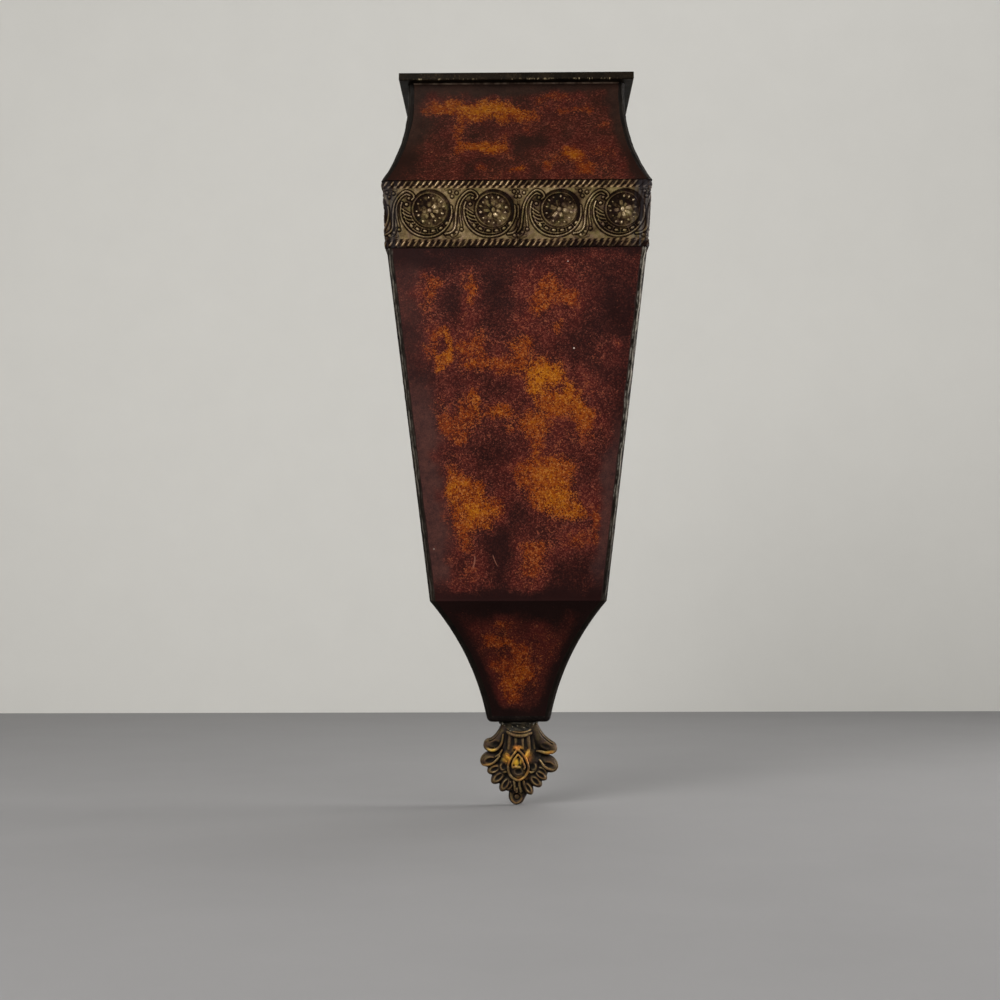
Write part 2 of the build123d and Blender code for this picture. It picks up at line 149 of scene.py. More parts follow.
# ------------------------------------------------------------ mesh tools
def add_piece(name, verts, faces, materials, face_material=None, attributes=None, uv=None, sharp=40.0):
    """Mesh object from millimetre vertices. faces is a list of index arrays of 3 or 4 columns."""
    mesh = bpy.data.meshes.new(name)
    loops = np.concatenate([np.asarray(f).ravel() for f in faces]).astype(np.int32)
    counts = np.concatenate([np.full(len(f), np.asarray(f).shape[1]) for f in faces])
    starts = np.concatenate([[0], np.cumsum(counts)[:-1]]).astype(np.int32)
    co = (np.asarray(verts, float) * MM).astype(np.float32)
    mesh.vertices.add(len(co))
    mesh.vertices.foreach_set("co", co.ravel())
    mesh.loops.add(len(loops))
    mesh.loops.foreach_set("vertex_index", loops)
    mesh.polygons.add(len(counts))
    mesh.polygons.foreach_set("loop_start", starts)
    for m in materials:
        mesh.materials.append(m)
    if face_material is not None:
        mesh.polygons.foreach_set("material_index", np.asarray(face_material, np.int32))
    mesh.update(calc_edges=True)
    for key, values in (attributes or {}).items():
        layer = mesh.attributes.new(key, "FLOAT", "POINT")
        layer.data.foreach_set("value", np.asarray(values, np.float32).ravel())
    if uv is not None:
        layer = mesh.uv_layers.new(name="OFBake")
        layer.uv.foreach_set("vector", np.asarray(uv, np.float32).ravel())
    mesh.shade_smooth()
    mesh.set_sharp_from_angle(angle=math.radians(sharp))
    obj = bpy.data.objects.new(name, mesh)
    scene.collection.objects.link(obj)
    return obj


def grid_quads(index):
    """Quads over a 2-D array of vertex numbers, top row first, left to right seen from outside."""
    return np.stack(
        [index[:-1, :-1], index[1:, :-1], index[1:, 1:], index[:-1, 1:]], axis=-1
    ).reshape(-1, 4)


def grid_uv(rows, cols, u0, u1, v0, v1):
    u = np.linspace(u0, u1, cols)
    v = np.linspace(v1, v0, rows)
    uu, vv = np.meshgrid(u, v)
    uv = np.stack([uu, vv], -1)
    return np.stack([uv[:-1, :-1], uv[1:, :-1], uv[1:, 1:], uv[:-1, 1:]], axis=2).reshape(-1, 4, 2)


def shell(outer, inner):
    """Closed sheet between two grids of points. Returns verts, quads, uv and a code per face: 0 outer, 1 inner, 2 edge."""
    rows, cols = outer.shape[:2]
    n = rows * cols
    o = np.arange(n).reshape(rows, cols)
    i = o + n
    quads = [grid_quads(o), grid_quads(i)[:, ::-1]]
    uv = [grid_uv(rows, cols, 0.005, 0.71, 0.005, 0.995), grid_uv(rows, cols, 0.75, 0.995, 0.005, 0.995)[:, ::-1]]
    code = [np.zeros(len(quads[0])), np.ones(len(quads[1]))]

    def strip(a, b, u0, u1, v0, v1):
        q = np.stack([a[:-1], a[1:], b[1:], b[:-1]], -1)
        quads.append(q)
        uv.append(grid_uv(len(a), 2, u0, u1, v0, v1))
        code.append(np.full(len(q), 2.0))

    strip(o[0, :], i[0, :], 0.714, 0.718, 0.005, 0.47)
    strip(i[-1, :], o[-1, :], 0.722, 0.726, 0.005, 0.47)
    strip(i[:, 0], o[:, 0], 0.714, 0.718, 0.53, 0.995)
    strip(o[:, -1], i[:, -1], 0.722, 0.726, 0.53, 0.995)
    verts = np.concatenate([outer.reshape(-1, 3), inner.reshape(-1, 3)])
    return verts, np.concatenate(quads), np.concatenate(uv), np.concatenate(code).astype(int)


# ------------------------------------------------------------ material tools
class Finish:
    """A node material under construction, ending in one Principled shader."""

    def __init__(self, name):
        self.mat = bpy.data.materials.new(name)
        self.mat.use_nodes = True
        self.tree = self.mat.node_tree
        self.tree.nodes.clear()
        out = self.tree.nodes.new("ShaderNodeOutputMaterial")
        self.bsdf = self.tree.nodes.new("ShaderNodeBsdfPrincipled")
        self.tree.links.new(self.bsdf.outputs[0], out.inputs["Surface"])
        coord = self.tree.nodes.new("ShaderNodeTexCoord")
        self.object = coord.outputs["Object"]

    def put(self, socket, value):
        if isinstance(value, bpy.types.NodeSocket):
            self.tree.links.new(value, socket)
        elif isinstance(value, (tuple, list)) and len(value) == 3 and socket.type == "RGBA":
            socket.default_value = (*value, 1.0)
        else:
            socket.default_value = value

    def set(self, **values):
        for key, value in values.items():
            self.put(self.bsdf.inputs[key.replace("_", " ")], value)

    def attr(self, name):
        node = self.tree.nodes.new("ShaderNodeAttribute")
        node.attribute_name = name
        return node.outputs["Fac"]

    def xyz(self):
        node = self.tree.nodes.new("ShaderNodeSeparateXYZ")
        self.put(node.inputs[0], self.object)
        return node.outputs

    def stretched(self, scale):
        node = self.tree.nodes.new("ShaderNodeMapping")
        node.vector_type = "POINT"
        self.put(node.inputs["Vector"], self.object)
        node.inputs["Scale"].default_value = scale
        return node.outputs[0]

    def noise(self, scale, detail=2.0, roughness=0.5, vector=None, distortion=0.0):
        node = self.tree.nodes.new("ShaderNodeTexNoise")
        self.put(node.inputs["Vector"], vector or self.object)
        node.inputs["Scale"].default_value = scale
        node.inputs["Detail"].default_value = detail
        node.inputs["Roughness"].default_value = roughness
        node.inputs["Distortion"].default_value = distortion
        return node.outputs["Fac"]

    def cells(self, scale, feature="F1", vector=None, output="Distance"):
        node = self.tree.nodes.new("ShaderNodeTexVoronoi")
        node.feature = feature
        self.put(node.inputs["Vector"], vector or self.object)
        node.inputs["Scale"].default_value = scale
        return node.outputs[output]

    def math(self, op, a, b=0.0, clamp=False):
        node = self.tree.nodes.new("ShaderNodeMath")
        node.operation = op
        node.use_clamp = clamp
        self.put(node.inputs[0], a)
        self.put(node.inputs[1], b)
        return node.outputs[0]

    def span(self, value, a, b, c=0.0, d=1.0, soft=False):
        node = self.tree.nodes.new("ShaderNodeMapRange")
        node.interpolation_type = "SMOOTHSTEP" if soft else "LINEAR"
        node.clamp = True
        for socket, v in zip(node.inputs[:5], (value, a, b, c, d)):
            self.put(socket, v)
        return node.outputs[0]

    def mix(self, fac, a, b, blend="MIX"):
        node = self.tree.nodes.new("ShaderNodeMix")
        node.data_type = "RGBA"
        node.blend_type = blend
        node.clamp_factor = True
        self.put(node.inputs[0], fac)
        self.put(node.inputs[6], a)
        self.put(node.inputs[7], b)
        return node.outputs[2]

    def ramp(self, fac, stops):
        node = self.tree.nodes.new("ShaderNodeValToRGB")
        ramp = node.color_ramp
        while len(ramp.elements) < len(stops):
            ramp.elements.new(0.5)
        for element, (at, colour) in zip(ramp.elements, stops):
            element.position = at
            element.color = (*colour, 1.0)
        self.put(node.inputs[0], fac)
        return node.outputs[0]

    def bump(self, height, strength, distance, normal=None):
        node = self.tree.nodes.new("ShaderNodeBump")
        node.inputs["Strength"].default_value = strength
        node.inputs["Distance"].default_value = distance
        self.put(node.inputs["Height"], height)
        if normal is not None:
            self.put(node.inputs["Normal"], normal)
        return node.outputs[0]


def rgb(r, g, b):
    """Display colour (0-255) as linear light."""
    return tuple(
        c / 12.92 if c <= 0.04045 else ((c + 0.055) / 1.055) ** 2.4
        for c in (r / 255, g / 255, b / 255)
    )


def specks(m, scale, size, share):
    """Mask of a few tiny round specks: one cell in so many carries one."""
    node = m.tree.nodes.new("ShaderNodeTexVoronoi")
    m.put(node.inputs["Vector"], m.object)
    node.inputs["Scale"].default_value = scale
    part = m.tree.nodes.new("ShaderNodeSeparateColor")
    m.put(part.inputs[0], node.outputs["Color"])
    chosen = m.math("GREATER_THAN", part.outputs[0], 1.0 - share)
    near = m.span(node.outputs["Distance"], size * scale, 0.4 * size * scale)
    return m.math("MULTIPLY", chosen, near)


def spot(m, x, z, at_x, at_z, size):
    """Mask of one small round mark on a front sheet, given in mm."""
    dx = m.math("SUBTRACT", x, 0.001 * at_x)
    dz = m.math("SUBTRACT", z, 0.001 * at_z)
    far = m.math("SQRT", m.math("ADD", m.math("MULTIPLY", dx, dx), m.math("MULTIPLY", dz, dz)))
    return m.span(far, 0.001 * size, 0.0004 * size)


def hairline(m, x, z, top, bot, bow, width):
    """Mask of one bowed scratch on a front sheet, from a top to a bottom point in mm."""
    t = m.span(z, 0.001 * top[1], 0.001 * bot[1])
    run = m.math("ADD", 0.001 * top[0], m.math("MULTIPLY", t, 0.001 * (bot[0] - top[0])))
    bulge = m.math("MULTIPLY", m.math("MULTIPLY", t, m.math("SUBTRACT", 1.0, t)), 0.004 * bow)
    off = m.math("ABSOLUTE", m.math("SUBTRACT", x, m.math("ADD", run, bulge)))
    ends = m.math("MULTIPLY", m.span(t, 0.0, 0.15), m.span(t, 1.0, 0.7))
    return m.math("MULTIPLY", m.span(off, 0.001 * width, 0.0003 * width), ends)


def tortoise_finish(name, drag, fine, dim, fleck, gloss, deep, red, sheen_pair, marks=False):
    """Sponge-stippled tortoise lacquer: amber paint dabbed through a dark maroon ground, with a dull painted sheen over
    it at the borders.
    drag draws the stipple out sideways and fine shrinks it; dim darkens the amber and fleck the pale flecks of the
    ground;
    deep and red are pairs of ground colours, and the third pair colours the painted sheen."""
    m = Finish(name)
    density, hue, painted_sheen = m.attr("amber"), m.attr("warmth"), m.attr("painted_sheen")
    dragged = m.stretched((drag, drag, 1.0))
    grain = m.noise(1180.0 * fine, 1.0, 0.5, dragged)
    cell = m.tree.nodes.new("ShaderNodeSeparateColor")
    m.put(cell.inputs[0], m.cells(1060.0 * fine, vector=dragged, output="Color"))
    salt, pepper, blush = cell.outputs
    clump = m.noise(270.0, 2.0, 0.6, dragged)
    drift = m.noise(90.0, 3.0, 0.6, dragged)
    veil = m.noise(26.0, 3.0, 0.55)
    calm = m.span(m.noise(78.0, 2.0, 0.55), 0.4, 0.55)
    worm = m.span(m.math("ABSOLUTE", m.math("SUBTRACT", m.noise(480.0, 1.0, 0.5, dragged), 0.5)), 0.0, 0.13, 1.0, 0.0)
    n = m.math(
        "ADD",
        m.math("ADD", m.math("MULTIPLY", m.math("SUBTRACT", grain, 0.5), 3.6), m.math("MULTIPLY", m.math("SUBTRACT", salt, 0.5), 1.25)),
        m.math(
            "ADD",
            m.math("MULTIPLY", m.math("SUBTRACT", clump, 0.5), 2.3),
            m.math("MULTIPLY", m.math("SUBTRACT", worm, 0.45), 0.45),
        ),
    )
    level = m.math("ADD", density, m.math("MULTIPLY", m.math("SUBTRACT", drift, 0.5), 0.6))
    quiet = m.math("MULTIPLY", m.math("SUBTRACT", calm, 0.75), m.span(density, 0.25, 0.6, 0.5, 0.0))
    reach = m.math(
        "ADD",
        m.math("ADD", n, m.math("MULTIPLY", m.math("SUBTRACT", level, 0.47), 1.9)),
        m.math("ADD", quiet, m.span(density, 0.04, 0.36, -1.0, 0.0)),
    )
    cover = m.span(reach, -0.28, 0.36, soft=True)
    # the painted sheen hides most of the amber where it lies
    cover = m.math("MULTIPLY", cover, m.span(painted_sheen, 0.0, 1.0, 1.0, 0.1))
    tint = m.math(
        "ADD",
        m.math("ADD", m.math("MULTIPLY", hue, 0.62), m.math("MULTIPLY", density, 0.3)),
        m.math("ADD", m.math("MULTIPLY", m.math("SUBTRACT", clump, 0.5), 0.8), m.math("MULTIPLY", m.math("SUBTRACT", pepper, 0.5), 0.4)),
    )
    shade = lambda r, g, b: tuple(dim * c for c in rgb(r, g, b))
    paint = m.ramp(
        tint,
        [
            (0.05, shade(98, 35, 15)),
            (0.33, shade(118, 49, 15)),
            (0.62, shade(130, 61, 11)),
            (0.98, shade(158, 92, 10)),
        ],
    )
    pale = tuple(tuple(fleck * c for c in rgb(*v)) for v in ((94, 38, 29), (126, 68, 54)))
    paint = m.mix(m.span(density, 0.2, 0.5), m.mix(blush, *pale), paint)
    bright = m.math("MULTIPLY", m.span(pepper, 0.6, 0.88), m.span(density, 0.25, 0.65, 0.2, 0.46))
    paint = m.mix(bright, paint, m.mix(m.span(density, 0.7, 1.0), shade(168, 105, 64), shade(182, 120, 44)))
    pit = m.math("MULTIPLY", m.span(blush, 0.82, 0.9), m.span(density, 0.3, 0.7, 0.2, 0.55))
    paint = m.mix(pit, paint, shade(84, 32, 12))
    ruddy = m.mix(m.span(m.noise(44.0, 2.0, 0.6), 0.4, 0.6), *red)
    ground = m.mix(m.span(density, 0.04, 0.28, soft=True), m.mix(veil, *deep), m.mix(m.span(drift, 0.35, 0.6, 0.5, 1.0), deep[1], ruddy))
    peppered = m.math(
        "ADD",
        m.math("MULTIPLY", m.math("SUBTRACT", salt, 0.5), 1.5),
        m.math("ADD", m.math("MULTIPLY", m.math("SUBTRACT", grain, 0.5), 2.4), m.math("MULTIPLY", m.math("SUBTRACT", drift, 0.5), 1.3)),
    )
    flecked = m.math("MULTIPLY", m.span(peppered, -0.35, 1.45, soft=True), m.span(density, 0.03, 0.24))
    ground = m.mix(m.math("MULTIPLY", flecked, m.span(painted_sheen, 0.0, 1.0, 0.95, 0.3)), ground, m.mix(blush, *pale))
    ground = m.mix(m.span(peppered, -0.2, -1.3, 0.0, 0.45), ground, deep[0])
    ground = m.mix(m.span(density, 0.36, 0.75, 0.0, 0.9), ground, rgb(82, 27, 8))
    sheen_mottle = m.math(
        "ADD",
        m.math("ADD", m.math("MULTIPLY", veil, 0.5), m.math("MULTIPLY", drift, 0.5)),
        m.math("ADD", m.math("MULTIPLY", m.math("SUBTRACT", clump, 0.5), 0.7), m.math("MULTIPLY", m.math("SUBTRACT", grain, 0.5), 0.5)),
    )
    # painted sheen: a dull veil in the third colour pair, laid over the ground at the borders
    ground = m.mix(m.math("MULTIPLY", painted_sheen, 0.85), ground, m.mix(m.span(sheen_mottle, 0.28, 0.72), *sheen_pair))
    colour = m.mix(cover, ground, paint)
    x, y, z = m.xyz()
    broken = m.span(m.noise(95.0, 4.0, 0.7, m.stretched((1.0, 0.2, 0.2))), 0.42, 0.58, 0.15, 0.75)
    line = m.math("MULTIPLY", m.span(z, -0.0041, -0.0035), broken)
    colour = m.mix(line, colour, rgb(136, 116, 100))
    if marks:
        front = m.span(m.math("ABSOLUTE", x), 0.064, 0.0645, 1.0, 0.0)
        # painted glints: small near-white spots at listed places on the front
        painted_glint = m.math("MAXIMUM", spot(m, x, z, 40.9, -201.8, 0.75), spot(m, x, z, 36.7, -139.7, 0.5))
        painted_glint = m.math("MAXIMUM", painted_glint, m.math("MULTIPLY", spot(m, x, z, -60.8, -345.6, 0.7), 0.35))
        colour = m.mix(m.math("MULTIPLY", m.math("MULTIPLY", painted_glint, front), 0.85), colour, rgb(226, 206, 192))
        scratch = m.math(
            "MAXIMUM",
            hairline(m, x, z, (-31.4, -350.2), (-33.5, -361.2), 0.9, 0.75),
            hairline(m, x, z, (-18.3, -349.6), (-14.4, -359.0), -0.4, 0.5),
        )
        colour = m.mix(m.math("MULTIPLY", m.math("MULTIPLY", scratch, front), 0.5), colour, rgb(158, 104, 84))
    m.set(
        Base_Color=colour,
        Roughness=m.span(m.math("ADD", veil, m.math("MULTIPLY", grain, 0.5)), 0.45, 1.05, 0.3, 0.47),
        Specular_IOR_Level=gloss,
        Normal=m.bump(
            m.math("ADD", m.math("MULTIPLY", cover, 0.5), grain), 0.22, 0.00025,
            m.bump(veil, 0.1, 0.002),
        ),
    )
    return m.mat


def lacquer_finish(name, low, high, wear, edge=None, gloss=0.08):
    """Near-black lacquer: mottled, lightly dusty, rubbed and specked."""
    m = Finish(name)
    mottled = m.noise(60.0, 4.0, 0.6)
    fine = m.noise(900.0, 2.0, 0.6)
    streak = m.noise(40.0, 3.0, 0.6, m.stretched((1.0, 1.0, 0.25)))
    colour = m.mix(m.span(mottled, 0.35, 0.65), low, high)
    colour = m.mix(m.span(fine, 0.55, 0.75, 0.0, 0.5), colour, wear)
    rub = m.math("MULTIPLY", m.span(streak, 0.56, 0.72), m.span(fine, 0.42, 0.62))
    colour = m.mix(m.math("MULTIPLY", rub, 0.45), colour, wear)
    if edge is not None:
        colour = m.mix(edge(m, fine), colour, rgb(176, 158, 124))
    # painted glints: a few tiny pale specks
    painted_glint = specks(m, 110.0, 0.00034, 0.22)
    colour = m.mix(m.math("MULTIPLY", painted_glint, 0.6), colour, rgb(190, 180, 160))
    m.set(
        Base_Color=colour,
        Roughness=m.span(m.math("ADD", mottled, m.math("MULTIPLY", fine, 0.6)), 0.5, 1.1, 0.3, 0.55),
        Specular_IOR_Level=gloss,
        Normal=m.bump(fine, 0.25, 0.0003, m.bump(mottled, 0.2, 0.0015)),
    )
    return m.mat


def rim_edge(m, fine):
    """Paint worn in small dots along the lower front edge."""
    x, y, z = m.xyz()
    lower = m.math(
        "MULTIPLY",
        m.span(z, -0.0014, -0.0022),
        m.span(y, -0.0812, -0.0816),
    )
    dots = m.span(m.noise(760.0, 2.0, 0.6, m.stretched((1.0, 0.25, 0.25))), 0.55, 0.66)
    some = m.span(m.noise(60.0, 2.0, 0.6, m.stretched((1.0, 0.1, 0.1))), 0.46, 0.58)
    return m.math("MULTIPLY", m.math("MULTIPLY", lower, m.math("MULTIPLY", dots, some)), 0.75)


def seam_finish():
    """Soldered corner painted over: lumpy black, with light streaks along the ridge that are partly bare metal and
    partly painted highlights of the rounded bead.
    """
    m = Finish("soldered_seam")
    across, lump, bare = m.attr("across"), m.attr("lump"), m.attr("bare")
    long = m.stretched((1.0, 1.0, 0.3))
    streak = m.noise(420.0, 3.0, 0.65, long)
    fine = m.noise(1000.0, 2.0, 0.6)
    blot = m.noise(120.0, 3.0, 0.6)
    wander = m.noise(55.0, 3.0, 0.6)
    x, y, z = m.xyz()
    # bare: the share of bare metal and painted highlight; it lightens the base as well as the ridge streak below
    colour = m.mix(m.span(blot, 0.36, 0.64), rgb(14, 10, 8), m.mix(bare, rgb(20, 15, 11), rgb(42, 35, 28)))
    hem = m.math("MULTIPLY", m.span(across, 0.0, 0.2, 0.85, 0.0, soft=True), m.math("MULTIPLY", m.span(z, -0.05, -0.14), m.span(z, -0.384, -0.372)))
    colour = m.mix(hem, colour, rgb(48, 30, 28))
    centre = m.math("ADD", 0.42, m.math("MULTIPLY", m.math("SUBTRACT", wander, 0.5), 0.5))
    off = m.math("ABSOLUTE", m.math("SUBTRACT", across, centre))
    second = m.math("ABSOLUTE", m.math("SUBTRACT", off, 0.24))
    twin = m.math("MULTIPLY", m.span(second, 0.02, 0.09, 1.0, 0.0, soft=True), m.span(blot, 0.46, 0.62))
    ridge = m.math("MAXIMUM", m.span(off, 0.03, 0.12, 1.0, 0.0, soft=True), m.math("MULTIPLY", twin, m.span(bare, 0.5, 0.9)))
    # painted highlight along the bead's ridge, partly bare metal: a light streak, weaker lower down
    scrape_and_highlight = m.math(
        "MULTIPLY",
        m.span(m.math("ADD", streak, m.math("MULTIPLY", lump, 0.1)), 0.4, 0.6, 0.15, 1.0, soft=True),
        m.math("MULTIPLY", m.math("MULTIPLY", ridge, bare), m.span(z, -0.35, -0.27, 0.3, 1.0)),
    )
    colour = m.mix(scrape_and_highlight, colour, rgb(126, 121, 112))
    # lip: a short painted highlight line near the neck's top
    lip = m.math("MULTIPLY", m.span(m.math("ABSOLUTE", m.math("SUBTRACT", across, 0.87)), 0.03, 0.09, 0.6, 0.0), m.span(z, -0.052, -0.03))
    colour = m.mix(m.math("MULTIPLY", lip, m.span(streak, 0.35, 0.6)), colour, rgb(80, 71, 62))
    m.set(
        Base_Color=colour,
        Metallic=m.math("MULTIPLY", scrape_and_highlight, 0.35),
        Roughness=m.span(m.math("ADD", streak, fine), 0.7, 1.3, 0.42, 0.7),
        Specular_IOR_Level=0.05,
        Normal=m.bump(m.math("ADD", streak, m.math("MULTIPLY", fine, 0.4)), 0.45, 0.0006),
    )
    return m.mat


def brass_finish():
    """Stamped champagne brass, antiqued: dark wax left beside the relief, khaki ground, crests rubbed bright."""
    m = Finish("stamped_brass")
    relief, age, corner_reflection, rust = m.attr("relief"), m.attr("age"), m.attr("corner_reflection"), m.attr("rust")
    fine = m.noise(800.0, 3.0, 0.65)
    blot = m.noise(70.0, 3.0, 0.6)
    level = m.math(
        "ADD",
        relief,
        m.math(
            "ADD",
            m.math("MULTIPLY", m.math("SUBTRACT", fine, 0.5), 0.3),
            m.math("MULTIPLY", m.math("SUBTRACT", blot, 0.5), 0.14),
        ),
    )
    colour = m.ramp(
        level,
        [
            (0.04, rgb(20, 10, 5)),
            (0.22, rgb(44, 30, 17)),
            (0.42, rgb(76, 61, 39)),
            (0.60, rgb(110, 93, 63)),
            (0.78, rgb(138, 119, 90)),
            (0.98, rgb(194, 172, 138)),
        ],
    )
    tarnish = m.math("MULTIPLY", m.span(m.math("ADD", age, m.math("MULTIPLY", blot, 0.5)), 0.5, 1.15), 0.6)
    colour = m.mix(tarnish, colour, m.mix(m.span(level, 0.1, 0.7), rgb(18, 9, 7), rgb(62, 46, 34)))
    tint = m.noise(210.0, 2.0, 0.5)
    colour = m.mix(m.span(tint, 0.55, 0.7, 0.0, 0.4), colour, m.mix(m.span(level, 0.1, 0.8), rgb(30, 16, 18), rgb(122, 96, 88)))
    colour = m.mix(m.span(tint, 0.45, 0.3, 0.0, 0.4), colour, m.mix(m.span(level, 0.1, 0.8), rgb(20, 22, 18), rgb(128, 118, 66)))
    colour = m.mix(rust, colour, m.mix(m.span(level, 0.1, 0.9), rgb(24, 11, 8), rgb(172, 138, 102)))
    # painted reflection: pale streaks where the band turns round the corner
    colour = m.mix(corner_reflection, colour, m.mix(m.span(level, 0.1, 0.6), rgb(46, 43, 45), rgb(106, 101, 99)))
    m.set(
        Base_Color=colour,
        Metallic=m.span(level, 0.45, 0.9, 0.04, 0.55),
        Roughness=m.span(m.math("ADD", level, m.math("MULTIPLY", fine, 0.4)), 0.4, 1.2, 0.65, 0.36),
        Specular_IOR_Level=0.03,
        Normal=m.bump(fine, 0.35, 0.00025),
    )
    return m.mat


def bronze_finish():
    """Antique cast bronze: blackened hollows, olive-brown flats, gold rubbed on the ridges."""
    m = Finish("antique_bronze")
    curve, gold = m.attr("curve"), m.attr("gold")
    fine = m.noise(620.0, 3.0, 0.65)
    blot = m.noise(110.0, 3.0, 0.6)
    level = m.math(
        "ADD",
        curve,
        m.math(
            "ADD",
            m.math("MULTIPLY", m.math("SUBTRACT", fine, 0.5), 0.34),
            m.math("MULTIPLY", m.math("SUBTRACT", blot, 0.5), 0.36),
        ),
    )
    colour = m.ramp(
        level,
        [
            (0.10, rgb(13, 10, 8)),
            (0.32, rgb(30, 24, 18)),
            (0.46, rgb(47, 37, 27)),
            (0.62, rgb(64, 49, 33)),
            (0.82, rgb(88, 67, 40)),
            (0.98, rgb(116, 90, 55)),
        ],
    )
    patina = m.noise(260.0, 3.0, 0.65)
    colour = m.mix(m.span(patina, 0.46, 0.64, 0.0, 0.75), colour, m.mix(m.span(level, 0.3, 0.85), rgb(20, 13, 14), rgb(78, 62, 58)))
    colour = m.mix(m.span(patina, 0.5, 0.36, 0.0, 0.5), colour, m.mix(m.span(level, 0.25, 0.8), rgb(18, 16, 10), rgb(106, 92, 60)))
    leaf = m.math("MULTIPLY", gold, m.span(m.math("ADD", level, m.math("MULTIPLY", fine, 0.4)), 0.4, 0.85))
    colour = m.mix(leaf, colour, m.mix(m.span(blot, 0.4, 0.6), rgb(168, 104, 42), rgb(214, 170, 52)))
    # worn: pale edges on the sharpest crests, partly rubbed wear and partly painted edge highlights
    worn = m.math("MULTIPLY", m.attr("rubbed"), m.span(m.math("ADD", patina, m.math("MULTIPLY", fine, 0.6)), 0.62, 0.92))
    colour = m.mix(m.math("MULTIPLY", worn, 0.66), colour, m.mix(m.span(blot, 0.42, 0.58), rgb(134, 100, 58), rgb(176, 154, 108)))
    shine = m.math("MAXIMUM", m.math("MAXIMUM", leaf, worn), m.span(level, 0.55, 0.95))
    m.set(
        Base_Color=colour,
        Metallic=m.span(shine, 0.0, 1.0, 0.15, 0.45),
        Roughness=m.span(m.math("SUBTRACT", m.math("MULTIPLY", fine, 0.5), shine), -0.8, 0.5, 0.42, 0.64),
        Specular_IOR_Level=0.1,
        Normal=m.bump(fine, 0.4, 0.0004),
    )
    return m.mat


def collar_finish():
    """Blackened solder and wax round the neck of the finial, with painted glints: near-white metallic spots."""
    m = Finish("waxed_solder")
    lump = m.attr("lump")
    fine = m.noise(650.0, 3.0, 0.7)
    blot = m.noise(240.0, 4.0, 0.65)
    # bare: the painted glint spots, where lump runs high
    bare = m.span(m.math("ADD", lump, m.math("MULTIPLY", fine, 0.6)), 1.08, 1.26, soft=True)
    colour = m.mix(m.span(blot, 0.38, 0.66), rgb(10, 8, 6), rgb(62, 54, 38))
    colour = m.mix(bare, colour, rgb(206, 196, 172))
    m.set(
        Base_Color=colour,
        Metallic=m.span(bare, 0.0, 1.0, 0.05, 0.8),
        Roughness=m.span(m.math("SUBTRACT", blot, bare), -0.6, 0.7, 0.26, 0.6),
        Specular_IOR_Level=0.2,
        Normal=m.bump(m.math("ADD", fine, blot), 0.5, 0.0006),
    )
    return m.mat


def steel_finish(name, low, high, rust):
    """Zinc-plated steel: spangle, handling marks, a little brown bloom."""
    m = Finish(name)
    spangle = m.cells(420.0)
    smear = m.noise(160.0, 4.0, 0.65, m.stretched((1.0, 1.0, 0.3)))
    fine = m.noise(1500.0, 2.0, 0.6)
    colour = m.mix(m.span(m.math("ADD", spangle, smear), 0.5, 1.2), low, high)
    bloom = m.span(m.noise(210.0, 4.0, 0.7), 0.58, 0.75, soft=True)
    colour = m.mix(m.math("MULTIPLY", bloom, 0.7), colour, rust)
    m.set(
        Base_Color=colour,
        Metallic=m.span(bloom, 0.0, 1.0, 0.95, 0.35),
        Roughness=m.span(m.math("ADD", smear, bloom), 0.3, 1.3, 0.26, 0.62),
        Normal=m.bump(m.math("ADD", fine, smear), 0.2, 0.0003),
    )
    return m.mat


TORTOISE = tortoise_finish(
    "tortoise_lacquer", 1.0, 1.0, 1.0, 1.0, 0.08,
    (rgb(20, 9, 9), rgb(45, 18, 16)), (rgb(56, 21, 17), rgb(70, 23, 19)), (rgb(50, 32, 32), rgb(82, 51, 45)), True,
)
NECK_TORTOISE = tortoise_finish(
    "tortoise_neck_lacquer", 0.72, 1.15, 0.62, 0.62, 0.04,
    (rgb(22, 13, 9), rgb(42, 21, 15)), (rgb(50, 21, 13), rgb(58, 19, 13)), (rgb(34, 23, 18), rgb(54, 36, 28)),
)
TAIL_TORTOISE = tortoise_finish(
    "tortoise_tail_lacquer", 1.0, 1.1, 0.86, 0.44, 0.06,
    (rgb(16, 8, 7), rgb(32, 15, 13)), (rgb(54, 20, 15), rgb(64, 21, 17)), (rgb(40, 25, 23), rgb(60, 36, 32)),
)
RIM_PAINT = lacquer_finish("rim_lacquer", rgb(14, 10, 6), rgb(29, 22, 14), rgb(64, 52, 36), rim_edge, 0.04)
BLACK_PAINT = lacquer_finish("black_lacquer", rgb(12, 9, 8), rgb(24, 18, 16), rgb(56, 47, 40), None, 0.05)
BACK_PAINT = lacquer_finish("back_lacquer", rgb(28, 22, 19), rgb(50, 38, 32), rgb(104, 88, 72))
LINING = lacquer_finish("inner_lacquer", rgb(22, 16, 14), rgb(42, 26, 22), rgb(80, 66, 56))
SOLDER = seam_finish()
BRASS = brass_finish()
BRONZE = bronze_finish()
COLLAR = collar_finish()
ZINC = steel_finish("zinc_steel", rgb(150, 146, 138), rgb(196, 192, 182), rgb(84, 62, 44))
RING_STEEL = steel_finish("ring_steel", rgb(120, 114, 104), rgb(176, 170, 158), rgb(70, 50, 36))
